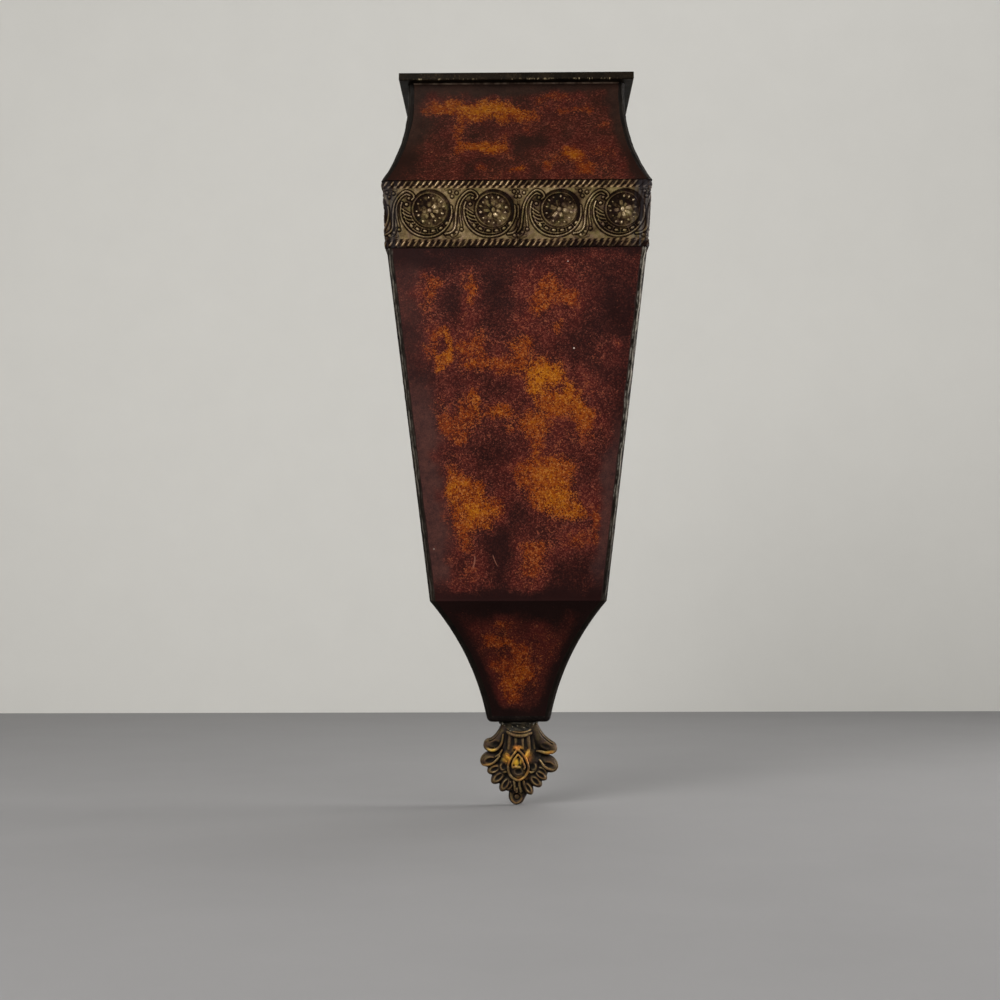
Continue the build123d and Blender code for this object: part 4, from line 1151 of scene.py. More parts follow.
def ornament(step=0.2):
    """One repeat of the stamped field as a height map about the rosette's centre."""
    n = int(round(PITCH / step))
    xs = (np.arange(n) - n / 2) * (PITCH / n)
    ys = np.arange(-21.6, 16.6, step)
    X, Y = np.meshgrid(xs, ys)
    high, low = np.zeros_like(X), np.zeros_like(X)

    def raise_to(h, moat):
        np.maximum(high, h, out=high)
        np.maximum(low, moat, out=low)

    def ridge(points, amp, width, moat=0.55, closed=False):
        line = curve_through(points, 6)
        best = np.full(X.shape, 99.0)
        for shift in (-PITCH, 0.0, PITCH):
            for a, b in zip(line[:-1], line[1:]):
                ax, ay = a[0] + shift, a[1]
                dx, dy = b - a
                u = np.clip(((X - ax) * dx + (Y - ay) * dy) / max(dx * dx + dy * dy, 1e-9), 0, 1)
                best = np.minimum(best, np.hypot(X - ax - u * dx, Y - ay - u * dy))
        raise_to(amp * np.exp(-((best / width) ** 2)), moat * amp * np.exp(-(((best - 1.95 * width) / (0.65 * width)) ** 2)))

    def bead(x, y, r, amp, squash=1.0, turn=0.0):
        best = np.full(X.shape, 99.0)
        c, s = math.cos(turn), math.sin(turn)
        for shift in (-PITCH, 0.0, PITCH):
            u, v = X - x - shift, Y - y
            best = np.minimum(best, np.hypot((u * c + v * s) * squash, -u * s + v * c))
        raise_to(
            amp * np.sqrt(np.clip(1.0 - (best / r) ** 2, 0, 1)),
            0.5 * amp * np.exp(-(((best - r - 0.25) / 0.45) ** 2)),
        )

    def arc(cx, cy, r, start, stop, count=18):
        a = np.radians(np.linspace(start, stop, count))
        return np.stack([cx + r * np.cos(a), cy + r * np.sin(a)], -1)

    # crescent of leaves that holds the rosette
    ridge(arc(-2.6, -1.2, 18.3, 158, 372, 26), 0.95, 0.55, 0.7)
    ridge(arc(-2.2, -0.9, 16.4, 172, 292, 18), 0.6, 0.42, 0.5)
    ridge(arc(-0.6, -0.3, 13.6, 196, 318, 16), 0.55, 0.45, 0.5)
    for a, b, c in (
        ((-20.4, 1.4), (-17.4, -0.6), (-14.4, -2.6)),
        ((-19.6, -1.6), (-16.4, -3.8), (-13.2, -4.9)),
        ((-18.9, -4.8), (-15.6, -6.8), (-12.3, -7.4)),
        ((-17.6, -8.0), (-14.4, -9.6), (-11.6, -9.4)),
    ):
        ridge([a, b, c], 0.7, 0.5, 0.6)
    bead(-16.4, 4.2, 1.25, 0.8)
    for x, y, turn in ((-13.7, -11.2, -0.9), (-9.3, -13.7, -0.6), (-4.0, -15.2, -0.2), (2.0, -15.2, 0.15), (7.6, -13.4, 0.55), (12.0, -9.8, 0.9)):
        bead(x, y, 1.05, 0.85, 0.62, turn)
    for x, y in ((-11.5, -12.5), (-6.7, -14.5), (-1.0, -15.3), (4.9, -14.4), (9.9, -11.7)):
        ridge([(0.87 * x, 0.87 * y), (x, y), (1.13 * x, 1.13 * y)], 0.5, 0.45, 0.4)
    # scrolling stem, two lines wide, ending in a volute over the crescent
    ridge([(-35.0, -17.4), (-30.6, -16.4), (-27.6, -12.4), (-26.7, -3.2), (-25.2, 4.4), (-21.6, 10.4), (-17.0, 13.9), (-12.8, 12.6), (-10.9, 9.4), (-12.6, 7.4)], 0.95, 0.6, 0.65)
    ridge([(-22.8, -12.0), (-23.9, -3.2), (-23.4, 3.4), (-20.4, 8.8), (-16.6, 11.6), (-13.9, 10.6)], 0.8, 0.5, 0.6)
    ridge([(-29.6, -19.6), (-26.6, -17.4), (-24.9, -13.2)], 0.6, 0.5, 0.5)
    bead(-14.6, 8.6, 1.15, 0.85)
    # spandrels
    for x, y in ((14.9, 13.0), (16.4, 9.6), (19.6, 12.2)):
        bead(x, y, 1.15, 0.85)
    ridge([(12.2, 14.6), (17.0, 15.6), (21.6, 14.4)], 0.5, 0.45, 0.5)
    for x, y in ((18.8, -16.2), (22.4, -14.0), (15.4, -18.4)):
        bead(x, y, 1.2, 0.8)
    ridge([(11.4, -19.4), (16.2, -20.2), (21.2, -18.8)], 0.5, 0.5, 0.5)
    # rosette: dished disc, ring, beads, petals and a boss
    r, turn = np.hypot(X, Y), np.arctan2(Y, X)
    off = np.hypot(X - 0.7, Y - 0.4)
    dish = smooth(12.6, 11.4, r)
    gutter = smooth(14.9, 14.1, off) * smooth(12.2, 13.0, r)
    inside = smooth(12.9, 12.3, r)
    high *= 1.0 - inside
    low *= 1.0 - inside
    low = np.maximum(low, np.maximum(0.5 * dish, 0.62 * gutter))
    ring = np.exp(-(((r - 12.2) / 0.5) ** 2))
    upper = np.exp(-(((off - 14.7) / 0.45) ** 2)) * smooth(-0.5, 0.4, turn) * smooth(2.9, 2.3, turn)
    rims = np.maximum(0.5 * ring, 0.4 * upper)
    high = np.maximum(high, rims)
    height = high - low * (1.0 - smooth(0.12, 0.6, high))
    # tone: khaki ground, dark wax beside the relief and in the discs, rubbed light on the crests, and the ring round
    # each disc painted lighter on its left: painted highlight
    tone = 0.62 - 0.42 * smooth(0.05, 0.36, low) * (1.0 - smooth(0.25, 0.7, high))
    tone = tone - 0.15 * smooth(0.05, 0.2, high) * smooth(0.62, 0.38, high) + 0.06 * smooth(0.6, 0.95, high)
    flat = 1.0 - smooth(0.2, 0.55, high)
    hold = smooth(18.8, 17.6, np.hypot(X + 2.6, Y + 1.2)) * smooth(12.8, 13.6, r) * smooth(5.0, 1.0, Y)
    scroll = np.exp(-(((X + 15.6) / 4.6) ** 2) - ((Y - 5.6) / 4.6) ** 2)
    tone = tone - flat * np.maximum(0.22 * hold, 0.34 * scroll)
    # painted highlight: the cosine term lightens each ring on its left side
    tone = np.where((r > 11.2) & (r < 13.4), 0.25 + 0.4 * ring * (0.6 + 0.4 * np.cos(turn - 2.9)), tone)
    return xs, ys, height, tone


def rosette(u, v, number):
    """Petals, beads and boss of the rosettes, each struck a little differently: height and tone."""
    height, tone = np.zeros_like(u), np.zeros_like(u)
    r, turn = np.hypot(u, v), np.arctan2(v, u)
    for k in np.unique(number):
        here = (number == k) & (r < 12.2)
        if not here.any():
            continue
        draw = np.random.RandomState(740 + int(k))
        x, y, rr, aa = u[here], v[here], r[here], turn[here]
        lobes, phase, lean = draw.randint(6, 9), draw.uniform(0, 6.3), draw.uniform(0, 6.3)
        h, t, wax = np.zeros_like(x), np.zeros_like(x), np.zeros_like(x)
        for i in range(lobes):
            a = phase + 2 * math.pi * (i + draw.uniform(-0.12, 0.12)) / lobes
            tip, fat, show = draw.uniform(5.6, 7.6), draw.uniform(0.85, 1.25), draw.uniform(0.18, 0.56)
            c, e = math.cos(a), math.sin(a)
            along, across = x * c + y * e, np.abs(y * c - x * e)
            half = fat * np.clip(0.35 + 0.32 * along, 0.3, 1.6)
            leaf = smooth(1.5, 2.5, along) * smooth(tip, tip - 1.2, along) * smooth(half, 0.45 * half, across)
            vein = np.exp(-((across / 0.3) ** 2)) * smooth(tip - 0.5, tip - 2.5, along)
            h = np.maximum(h, 0.55 * leaf - 0.2 * leaf * vein)
            edge = smooth(1.2, 2.0, along) * smooth(tip + 1.0, tip - 0.4, along) * np.exp(-(((across - half - 0.25) / 0.4) ** 2))
            wax = np.maximum(wax, 0.2 * edge)
            t = np.maximum(t, leaf * (show + 0.1 * math.cos(a - lean)) - 0.1 * leaf * vein)
        count = draw.randint(13, 16)
        for i in range(count):
            a = 2 * math.pi * (i + draw.uniform(0.3, 0.7)) / count
            far, size, bright = 9.4 + draw.normal(0, 0.4), draw.uniform(0.6, 1.0), draw.uniform(0.32, 0.86)
            c, e = math.cos(a), math.sin(a)
            along, across = (x - far * c) * c + (y - far * e) * e, (y - far * e) * c - (x - far * c) * e
            cap = np.sqrt(np.clip(1.0 - (along / (1.3 * size)) ** 2 - (across / (0.95 * size)) ** 2, 0, 1))
            h, t = np.maximum(h, 0.9 * cap), np.maximum(t, bright * smooth(0.15, 0.8, cap))
            wax = np.maximum(wax, 0.26 * np.exp(-(((np.hypot(along / 1.3, across / 0.95) - size - 0.3) / 0.4) ** 2)))
        cap = np.sqrt(np.clip(1.0 - (x / 1.5) ** 2 - (y / 1.85) ** 2, 0, 1))
        moat = np.exp(-(((rr - 2.2) / 0.55) ** 2)) * (1.0 - smooth(0.0, 0.4, cap)) * (0.55 + 0.45 * np.sin(aa - lean))
        height[here] = np.maximum(h - 0.4 * moat, 1.0 * cap)
        tone[here] = np.maximum(t - 0.3 * moat - wax * smooth(0.5, 0.2, t), draw.uniform(0.42, 0.7) * smooth(0.1, 0.8, cap))
    return height, tone


def sample_repeat(table, values, s, t):
    """Value of the repeating field at places along and up the band."""
    xs, ys = table[:2]
    n = len(xs)
    u = ((s - FIRST) / PITCH + 0.5) * n
    v = np.clip((t - ROSETTE_T - ys[0]) / (ys[1] - ys[0]), 0, len(ys) - 1.001)
    iu, iv = np.floor(u).astype(int), np.floor(v).astype(int)
    fu, fv = u - iu, v - iv
    a, b = values[iv, iu % n], values[iv, (iu + 1) % n]
    c, d = values[iv + 1, iu % n], values[iv + 1, (iu + 1) % n]
    return (a * (1 - fu) + b * fu) * (1 - fv) + (c * (1 - fu) + d * fu) * fv


def rope(s, t, low, high, phase, inner, polish):
    """Twisted rope border between two heights: its height and its tone. inner is the edge on the field's side."""
    q = (t - low) / (high - low)
    live = (q > 0) & (q < 1)
    e = q if inner == "low" else 1.0 - q
    body = np.sqrt(np.clip(1.0 - (2.0 * q - 1.0) ** 2, 0, 1))
    turn = (s - 0.68 * (t - low) + phase) / 4.55
    turn = turn + 0.14 * (fbm(s / 9.0 + 3, 0 * s + phase, 611, 2) - 0.5)
    f = turn - np.floor(turn)
    number = np.floor(turn)
    rubbed = np.clip(0.5 + 1.15 * (value_noise(number * 0.83 + 5.1, 0 * s + phase, 615) - 0.2), 0.35, 1.05)
    rubbed = rubbed * np.interp(s, *polish)
    short = 0.08 * value_noise(number * 0.71 + 2.3, 0 * s + phase, 617)
    crest = np.exp(-(((f - 0.5) / 0.19) ** 2))
    tick = np.exp(-(np.abs((f - 0.5) / 0.155) ** 2.4)) * smooth(0.2 + short, 0.38 + short, e) * smooth(0.98 - short, 0.8 - short, e)
    comma = np.exp(-(np.abs(((f - 0.24) % 1.0 - 0.5) / 0.25) ** 2.6))
    tooth = (1.0 - comma) * smooth(0.42, 0.22, e)
    height = body * (0.15 + 1.0 * crest) - 0.35 * (1 - crest) * body
    tone = np.maximum(0.14 + 0.86 * rubbed * tick, (0.7 if inner == "low" else 0.5) * tooth)
    return np.where(live, height, 0.0), tone, live


# how far the rope borders are rubbed, along the front
LOW_POLISH = [-97, -60, -10, 25, 45, 90], [0.9, 0.85, 0.7, 0.8, 0.45, 0.28]
HIGH_POLISH = [-97, -78, -66, 0, 8, 22, 45, 58, 90], [0.7, 0.7, 1.05, 1.05, 0.75, 1.1, 1.0, 0.55, 0.3]

# dark wax left thick on the front of the band, or wiped thin where the amount is below nothing: place along it, height, reach both ways (mm) and amount
SMUDGES = [
    (-91.8, 37.0, 5, 7, 0.16), (-30.2, 36.4, 4, 6, 0.2), (-2.7, 33.9, 5, 9, 0.3), (0.4, 17.0, 4, 8, 0.3),
    (3.2, 13.0, 4, 4, 0.22), (16.0, 34.6, 5, 5, 0.24), (30.8, 36.4, 9, 5, 0.1), (43.2, 33.9, 4, 6, 0.22),
    (60.2, 39.4, 6, 4, 0.22), (72.6, 36.4, 10, 6, 0.12), (89.6, 34.0, 6, 13, 0.22), (65.5, 15.8, 7, 4, 0.24),
    (55.6, 12.6, 5, 4, 0.22), (-84.0, 11.0, 5, 4, 0.14), (37.0, 23.6, 7, 5, -0.34), (78.4, 25.6, 8, 6, -0.28), (2.9, 26.8, 3, 6, 0.16), (46.3, 38.5, 4, 4, 0.16),
    (-54.7, 26.8, 4, 4, -0.1), (-9.7, 26.8, 4, 5, -0.08),
]


def make_trim(side, table, k=5):
    wm, dm = straight_profile(BODY_W)(0.5 * (BAND_TOP + BAND_BOT)), straight_profile(BODY_D)(0.5 * (BAND_TOP + BAND_BOT))
    front, bend, flank = wm - BEND, 0.5 * math.pi * (BEND + 0.6), dm - BEND - TRIM_END
    total = front + bend + flank
    step = 0.37
    cols = k * int(round(total / step / k)) + 1
    rows = k * int(round(BAND_H / step / k)) + 1
    start, lift = (0.55, 0.0) if side == "right" else (-0.2, 0.12)
    reach = np.linspace(start, total, cols)
    t = np.linspace(BAND_H, 0.0, rows)[:, None]
    z = BAND_BOT + t
    w, d = straight_profile(BODY_W)(z), straight_profile(BODY_D)(z)
    s = (reach if side == "right" else -reach)[None, :]
    ss, tt = s + 0 * t, t + 0 * s
    wob_s = ss + 0.9 * (fbm(ss / 16.0 + 50, tt / 14.0, 620, 2) - 0.5)
    wob_t = tt + 0.7 * (fbm(ss / 16.0 + 50, tt / 14.0 + 30, 630, 2) - 0.5)
    wob_s = wob_s - (2.4 if side == "right" else 0.0)
    strength = 0.8 + 0.4 * fbm(ss / 20.0 + 60, tt / 18.0 + 4, 640, 3)
    place = (wob_s - FIRST) / PITCH + 0.5
    du, dv = (place % 1.0 - 0.5) * PITCH, wob_t - ROSETTE_T
    struck, rubbing = rosette(du, dv, np.floor(place).astype(int))
    field = (sample_repeat(table, table[2], wob_s, wob_t) + struck) * strength
    inside = smooth(ROPE_LOW + 0.2, ROPE_LOW + 1.4, tt) * smooth(ROPE_HIGH - 0.2, ROPE_HIGH - 1.2, tt)
    low_rope, low_tone, low_live = rope(ss, wob_t, 0.1, ROPE_LOW, 0.0, "high", LOW_POLISH)
    high_rope, high_tone, high_live = rope(ss, wob_t, ROPE_HIGH, BAND_H - 0.1, 2.1, "low", HIGH_POLISH)
    height = np.maximum(field * inside, -0.5) + low_rope + high_rope
    height = height + 0.12 * (fbm(ss / 2.2 + 9, tt / 2.2 + 9, 650, 3) - 0.5)
    thick = np.clip(0.62 + lift + height, 0.08, 2.0)
    r = np.abs(reach)[None, :] + 0 * t

    def lay(out):
        """Points of the band at a distance out from the sheet."""
        turn = np.clip((r - front) / bend, 0, 1) * (0.5 * math.pi)
        x = np.where(r < front, r * (w - BEND) / front, w - BEND + (BEND + out) * np.sin(turn))
        x = np.where(reach[None, :] < 0, reach[None, :] + 0 * t, x)
        y = np.where(r < front, -d - out, -d + BEND - (BEND + out) * np.cos(turn))
        along = np.clip((r - front - bend) / flank, 0, 1) * (d - BEND - TRIM_END)
        return np.stack([x, y + along, z + 0 * r], -1)

    outer, under = lay(thick), lay(np.full_like(thick, 0.02))
    tone = sample_repeat(table, table[3], wob_s, wob_t)
    disc = smooth(12.6, 11.4, np.hypot(du, dv))
    # worn: its slope in du and dv makes each disc lighter at the lower right and darker at the upper left, painted
    # shading of the dish; the noise terms are mottled wear
    worn = 0.012 * du - 0.01 * dv + 0.6 * (fbm(ss / 6.5 + 21, tt / 6.5 + 2, 670, 3) - 0.5) + 0.5 * (fbm(ss / 1.5 + 2, tt / 1.5 + 8, 674, 2) - 0.5)
    tone = tone * (1 - disc) + disc * (0.23 + rubbing + worn * smooth(0.75, 0.35, rubbing))
    tone = np.where(low_live, low_tone, np.where(high_live, high_tone, tone))
    tone = np.where((tt < 0.3) | (tt > BAND_H - 0.3), 0.12, tone)
    tone = tone + 0.16 * (thick - blur(thick, 4, 2))
    tone = tone + 0.36 * (fbm(ss / 2.4 + 4, tt / 2.4 + 7, 680, 3, 0.6) - 0.5) + 0.28 * (fbm(ss / 14.0 + 4, tt / 12.0 + 7, 684, 3) - 0.5)
    patchy = 0.5 + fbm(ss / 4.0 + 14, tt / 4.0 + 3, 692, 3)
    for at, up, wide, tall, amount in SMUDGES:
        tone = tone - amount * patchy * np.exp(-(((ss - at) / wide) ** 2) - (((tt - up) / tall) ** 2))
    # at the bend round the corner: darker towards the bend, and streaks of pale painted reflection, more on the
    # right-hand trim
    corner = smooth(front - 11, front - 2, r) * smooth(front + bend + 14, front + bend + 4, r)
    smear = 0.5 + 0.9 * (fbm(ss / 1.4 + 30, tt / 20.0, 688, 3) - 0.35)
    tone = tone - corner * np.clip(0.24 * smear, 0.0, 0.34)
    corner_reflection = np.clip(corner * (0.75 if side == "right" else 0.5) * smooth(0.3, 0.62, fbm(ss / 1.6 + 70, tt / 16.0 + 2, 696, 3)), 0, 1)
    relief = np.clip(tone, 0.0, 1.0)
    age = 0.7 * fbm(ss / 30.0 + 8, tt / 26.0 + 3, 660, 3) + 0.12 * smooth(10, 92, ss) * (1 + 0.9 * (tt < ROPE_LOW)) - 0.1 * smooth(10, -60, ss)
    age = age + 0.15 * corner + 0.34 * (low_live | high_live) * smooth(0.5, 0.2, tone)
    rust = (low_live | high_live) * (0.2 + 0.4 * fbm(ss / 8.0 + 33, tt / 8.0 + 5, 702, 2))
    if side == "left":
        outer, under = outer * np.array([-1.0, 1, 1]), under * np.array([-1.0, 1, 1])
        outer, under, relief, age, corner_reflection, rust = (a[:, ::-1] for a in (outer, under, relief, age, corner_reflection, rust))
    coarse = under[::k, ::k]
    n = rows * cols
    o = np.arange(n).reshape(rows, cols)
    c = n + np.arange(coarse.shape[0] * coarse.shape[1]).reshape(coarse.shape[:2])
    quads = [grid_quads(o), grid_quads(c)[:, ::-1]]

    def stitch(fine, rough, flip):
        """Triangles between an outer edge and the coarser edge of the underside."""
        out = []
        for j in range(len(rough) - 1):
            f = fine[j * k : j * k + k + 1]
            half = k // 2
            out += [(rough[j], f[i], f[i + 1]) for i in range(half)]
            out.append((rough[j], f[half], rough[j + 1]))
            out += [(rough[j + 1], f[i], f[i + 1]) for i in range(half, k)]
        out = np.array(out)
        return out[:, ::-1] if flip else out

    tris = np.concatenate(
        [
            stitch(o[0, :], c[0, :], False),
            stitch(o[-1, :], c[-1, :], True),
            stitch(o[:, 0], c[:, 0], True),
            stitch(o[:, -1], c[:, -1], False),
        ]
    )
    uv = np.concatenate(
        [
            grid_uv(rows, cols, 0.005, 0.995, 0.25, 0.995).reshape(-1, 2),
            grid_uv(*coarse.shape[:2], 0.005, 0.995, 0.03, 0.2)[:, ::-1].reshape(-1, 2),
            np.tile([[0.005, 0.005], [0.99, 0.005], [0.99, 0.012]], (len(tris), 1)),
        ]
    )
    spare = np.zeros(coarse.shape[0] * coarse.shape[1])
    node = f"trim_{side}"
    obj = add_piece(
        f"{node}_stamping", np.concatenate([outer.reshape(-1, 3), coarse.reshape(-1, 3)]), [*quads, tris], [BRASS],
        None, {"relief": np.concatenate([relief.ravel(), spare + 0.3]), "age": np.concatenate([age.ravel(), spare + 0.6]), "corner_reflection": np.concatenate([corner_reflection.ravel(), spare]), "rust": np.concatenate([rust.ravel(), spare])}, uv, 75.0,
    )
    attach(obj, "vase")
    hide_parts(node)
    return obj


ORNAMENT = ornament()
for side in ("left", "right"):
    make_trim(side, ORNAMENT)


# ------------------------------------------------------------ cast finial, carved as a distance field
# Local frame: x across, v away from the middle plane (the casting is the same front and back), h above the tip.
class Carving:
    def __init__(self, step):
        self.step = step
        self.x = np.arange(-31.0, 31.0, step)
        self.v = np.arange(0.0, 20.0, step)
        self.h = np.arange(-1.6, 63.0, step)
        self.f = np.full((len(self.x), len(self.v), len(self.h)), 9.0, np.float32)

    def part(self, lo, hi):
        cut, axes = [], []
        for axis, a, b in zip((self.x, self.v, self.h), lo, hi):
            i, j = np.searchsorted(axis, a), np.searchsorted(axis, b)
            cut.append(slice(max(i, 0), max(j, i + 1)))
            axes.append(axis[cut[-1]])
        x, v, h = axes
        return tuple(cut), (x[:, None, None], v[None, :, None], h[None, None, :])

    def join(self, shape, lo, hi, k):
        pad = k + 2.5
        cut, grid = self.part([a - pad for a in lo], [b + pad for b in hi])
        a, b = self.f[cut], shape(*grid)
        m = np.maximum(k - np.abs(a - b), 0.0) / k
        self.f[cut] = np.minimum(a, b) - m * m * k * 0.25

    def carve(self, shape, lo, hi, k):
        pad = k + 1.0
        cut, grid = self.part([a - pad for a in lo], [b + pad for b in hi])
        a, b = self.f[cut], -shape(*grid)
        m = np.maximum(k - np.abs(a - b), 0.0) / k
        self.f[cut] = np.maximum(a, b) + m * m * k * 0.25

    def egg(self, centre, semi, turn=0.0, k=1.2, cut=False):
        """Ellipsoid, turned in the plane of the front."""
        cx, cv, ch = centre
        a, b, c = semi
        co, si = math.cos(turn), math.sin(turn)

        def shape(x, v, h):
            p = (x - cx) * co + (h - ch) * si
            q = -(x - cx) * si + (h - ch) * co
            r = v - cv
            k0 = np.sqrt((p / a) ** 2 + (r / b) ** 2 + (q / c) ** 2)
            k1 = np.sqrt((p / a**2) ** 2 + (r / b**2) ** 2 + (q / c**2) ** 2)
            return (k0 * (k0 - 1.0) / np.maximum(k1, 1e-4)).astype(np.float32)

        m = max(a, c)
        (self.carve if cut else self.join)(shape, (cx - m, cv - b, ch - m), (cx + m, cv + b, ch + m), k)

    def cord(self, points, k=0.8, smooth_line=True, cut=False):
        """Round bar through (x, v, h, radius) points."""
        line = curve_through(points, 4) if smooth_line and len(points) > 2 else np.asarray(points, float)
        lo, hi = line[:, :3].min(0) - line[:, 3].max(), line[:, :3].max(0) + line[:, 3].max()

        def shape(x, v, h):
            best = None
            for a, b in zip(line[:-1], line[1:]):
                e = b[:3] - a[:3]
                t = ((x - a[0]) * e[0] + (v - a[1]) * e[1] + (h - a[2]) * e[2]) / max(float(e @ e), 1e-9)
                t = np.clip(t, 0, 1)
                d = np.sqrt(
                    (x - a[0] - t * e[0]) ** 2 + (v - a[1] - t * e[1]) ** 2 + (h - a[2] - t * e[2]) ** 2
                ) - (a[3] + t * (b[3] - a[3]))
                best = d if best is None else np.minimum(best, d)
            return best.astype(np.float32)

        (self.carve if cut else self.join)(shape, lo, hi, k)

    def leaf(self, root, tip, width, deep, v_root, v_tip, hollow=0.55):
        """Pointed-oval leaf with a dished face and a raised edge."""
        (x0, h0), (x1, h1) = root, tip
        turn, half = math.atan2(h1 - h0, x1 - x0), 0.5 * math.hypot(x1 - x0, h1 - h0)
        cx, ch, cv = 0.5 * (x0 + x1), 0.5 * (h0 + h1), 0.5 * (v_root + v_tip)
        self.egg((cx, cv, ch), (half + 1.2, deep, width), turn, 0.9)
        if hollow:
            ox, oh = 0.15 * (x1 - x0), 0.15 * (h1 - h0)
            self.egg(
                (cx + ox, cv + deep + 0.15, ch + oh), (0.72 * half + 0.2, 1.7, hollow * width), turn, 0.5, True
            )

    def veins(self, path, side, angles):
        """Grooves along the outer side of a round leaf that follows (x, v, h, radius) points."""
        line = curve_through(path, 4)
        run = np.gradient(line[:, [0, 2]], axis=0)
        out = side * np.stack([-run[:, 1], run[:, 0]], -1) / np.maximum(np.hypot(*run.T), 1e-6)[:, None]
        line, out = line[3:-1], out[3:-1]
        for turn in angles:
            reach = line[:, 3] * math.cos(turn)
            spine = np.stack(
                [line[:, 0] + reach * out[:, 0], line[:, 1] + line[:, 3] * math.sin(turn), line[:, 2] + reach * out[:, 1]], -1
            )
            width = np.linspace(0.3, 0.62, len(line))
            self.cord(np.column_stack([spine, width]), 0.45, False, True)

    def hoops(self, centre, semi, turn, start, stop, angles):
        """Grooves round the outer end of an egg-shaped leaf, side by side from front to back."""
        a, b, c = semi
        sweep = np.linspace(start, stop, 13)
        for lift in angles:
            p, q = a * np.cos(sweep) * math.cos(lift), c * np.sin(sweep) * math.cos(lift)
            x = centre[0] + p * math.cos(turn) - q * math.sin(turn)
            h = centre[2] + p * math.sin(turn) + q * math.cos(turn)
            v = np.full(len(sweep), centre[1] + b * math.sin(lift))
            width = 0.55 - 0.2 * np.abs(np.linspace(-1, 1, len(sweep)))
            self.cord(np.column_stack([x, v, h, width]), 0.45, False, True)


CORE = np.array(
    [
        (-1.0, 0.5, 0.5), (2.0, 2.8, 3.0), (6.0, 5.0, 5.0), (12.0, 9.0, 7.8), (20.0, 14.6, 10.6), (27.0, 18.4, 12.6),
        (33.0, 20.2, 13.4), (40.0, 19.4, 13.0), (45.0, 17.0, 12.4), (50.0, 14.0, 12.0), (56.0, 12.6, 12.4), (64.0, 12.6, 12.4),
    ]
)


def core_half(h):
    return np.interp(h, CORE[:, 0], CORE[:, 1]), np.interp(h, CORE[:, 0], CORE[:, 2])


def on_core(x, h, out=0.0):
    """Depth of the core's front at a place."""
    a, b = core_half(h)
    return float(b * math.sqrt(max(0.04, 1.0 - (x / a) ** 2))) + out


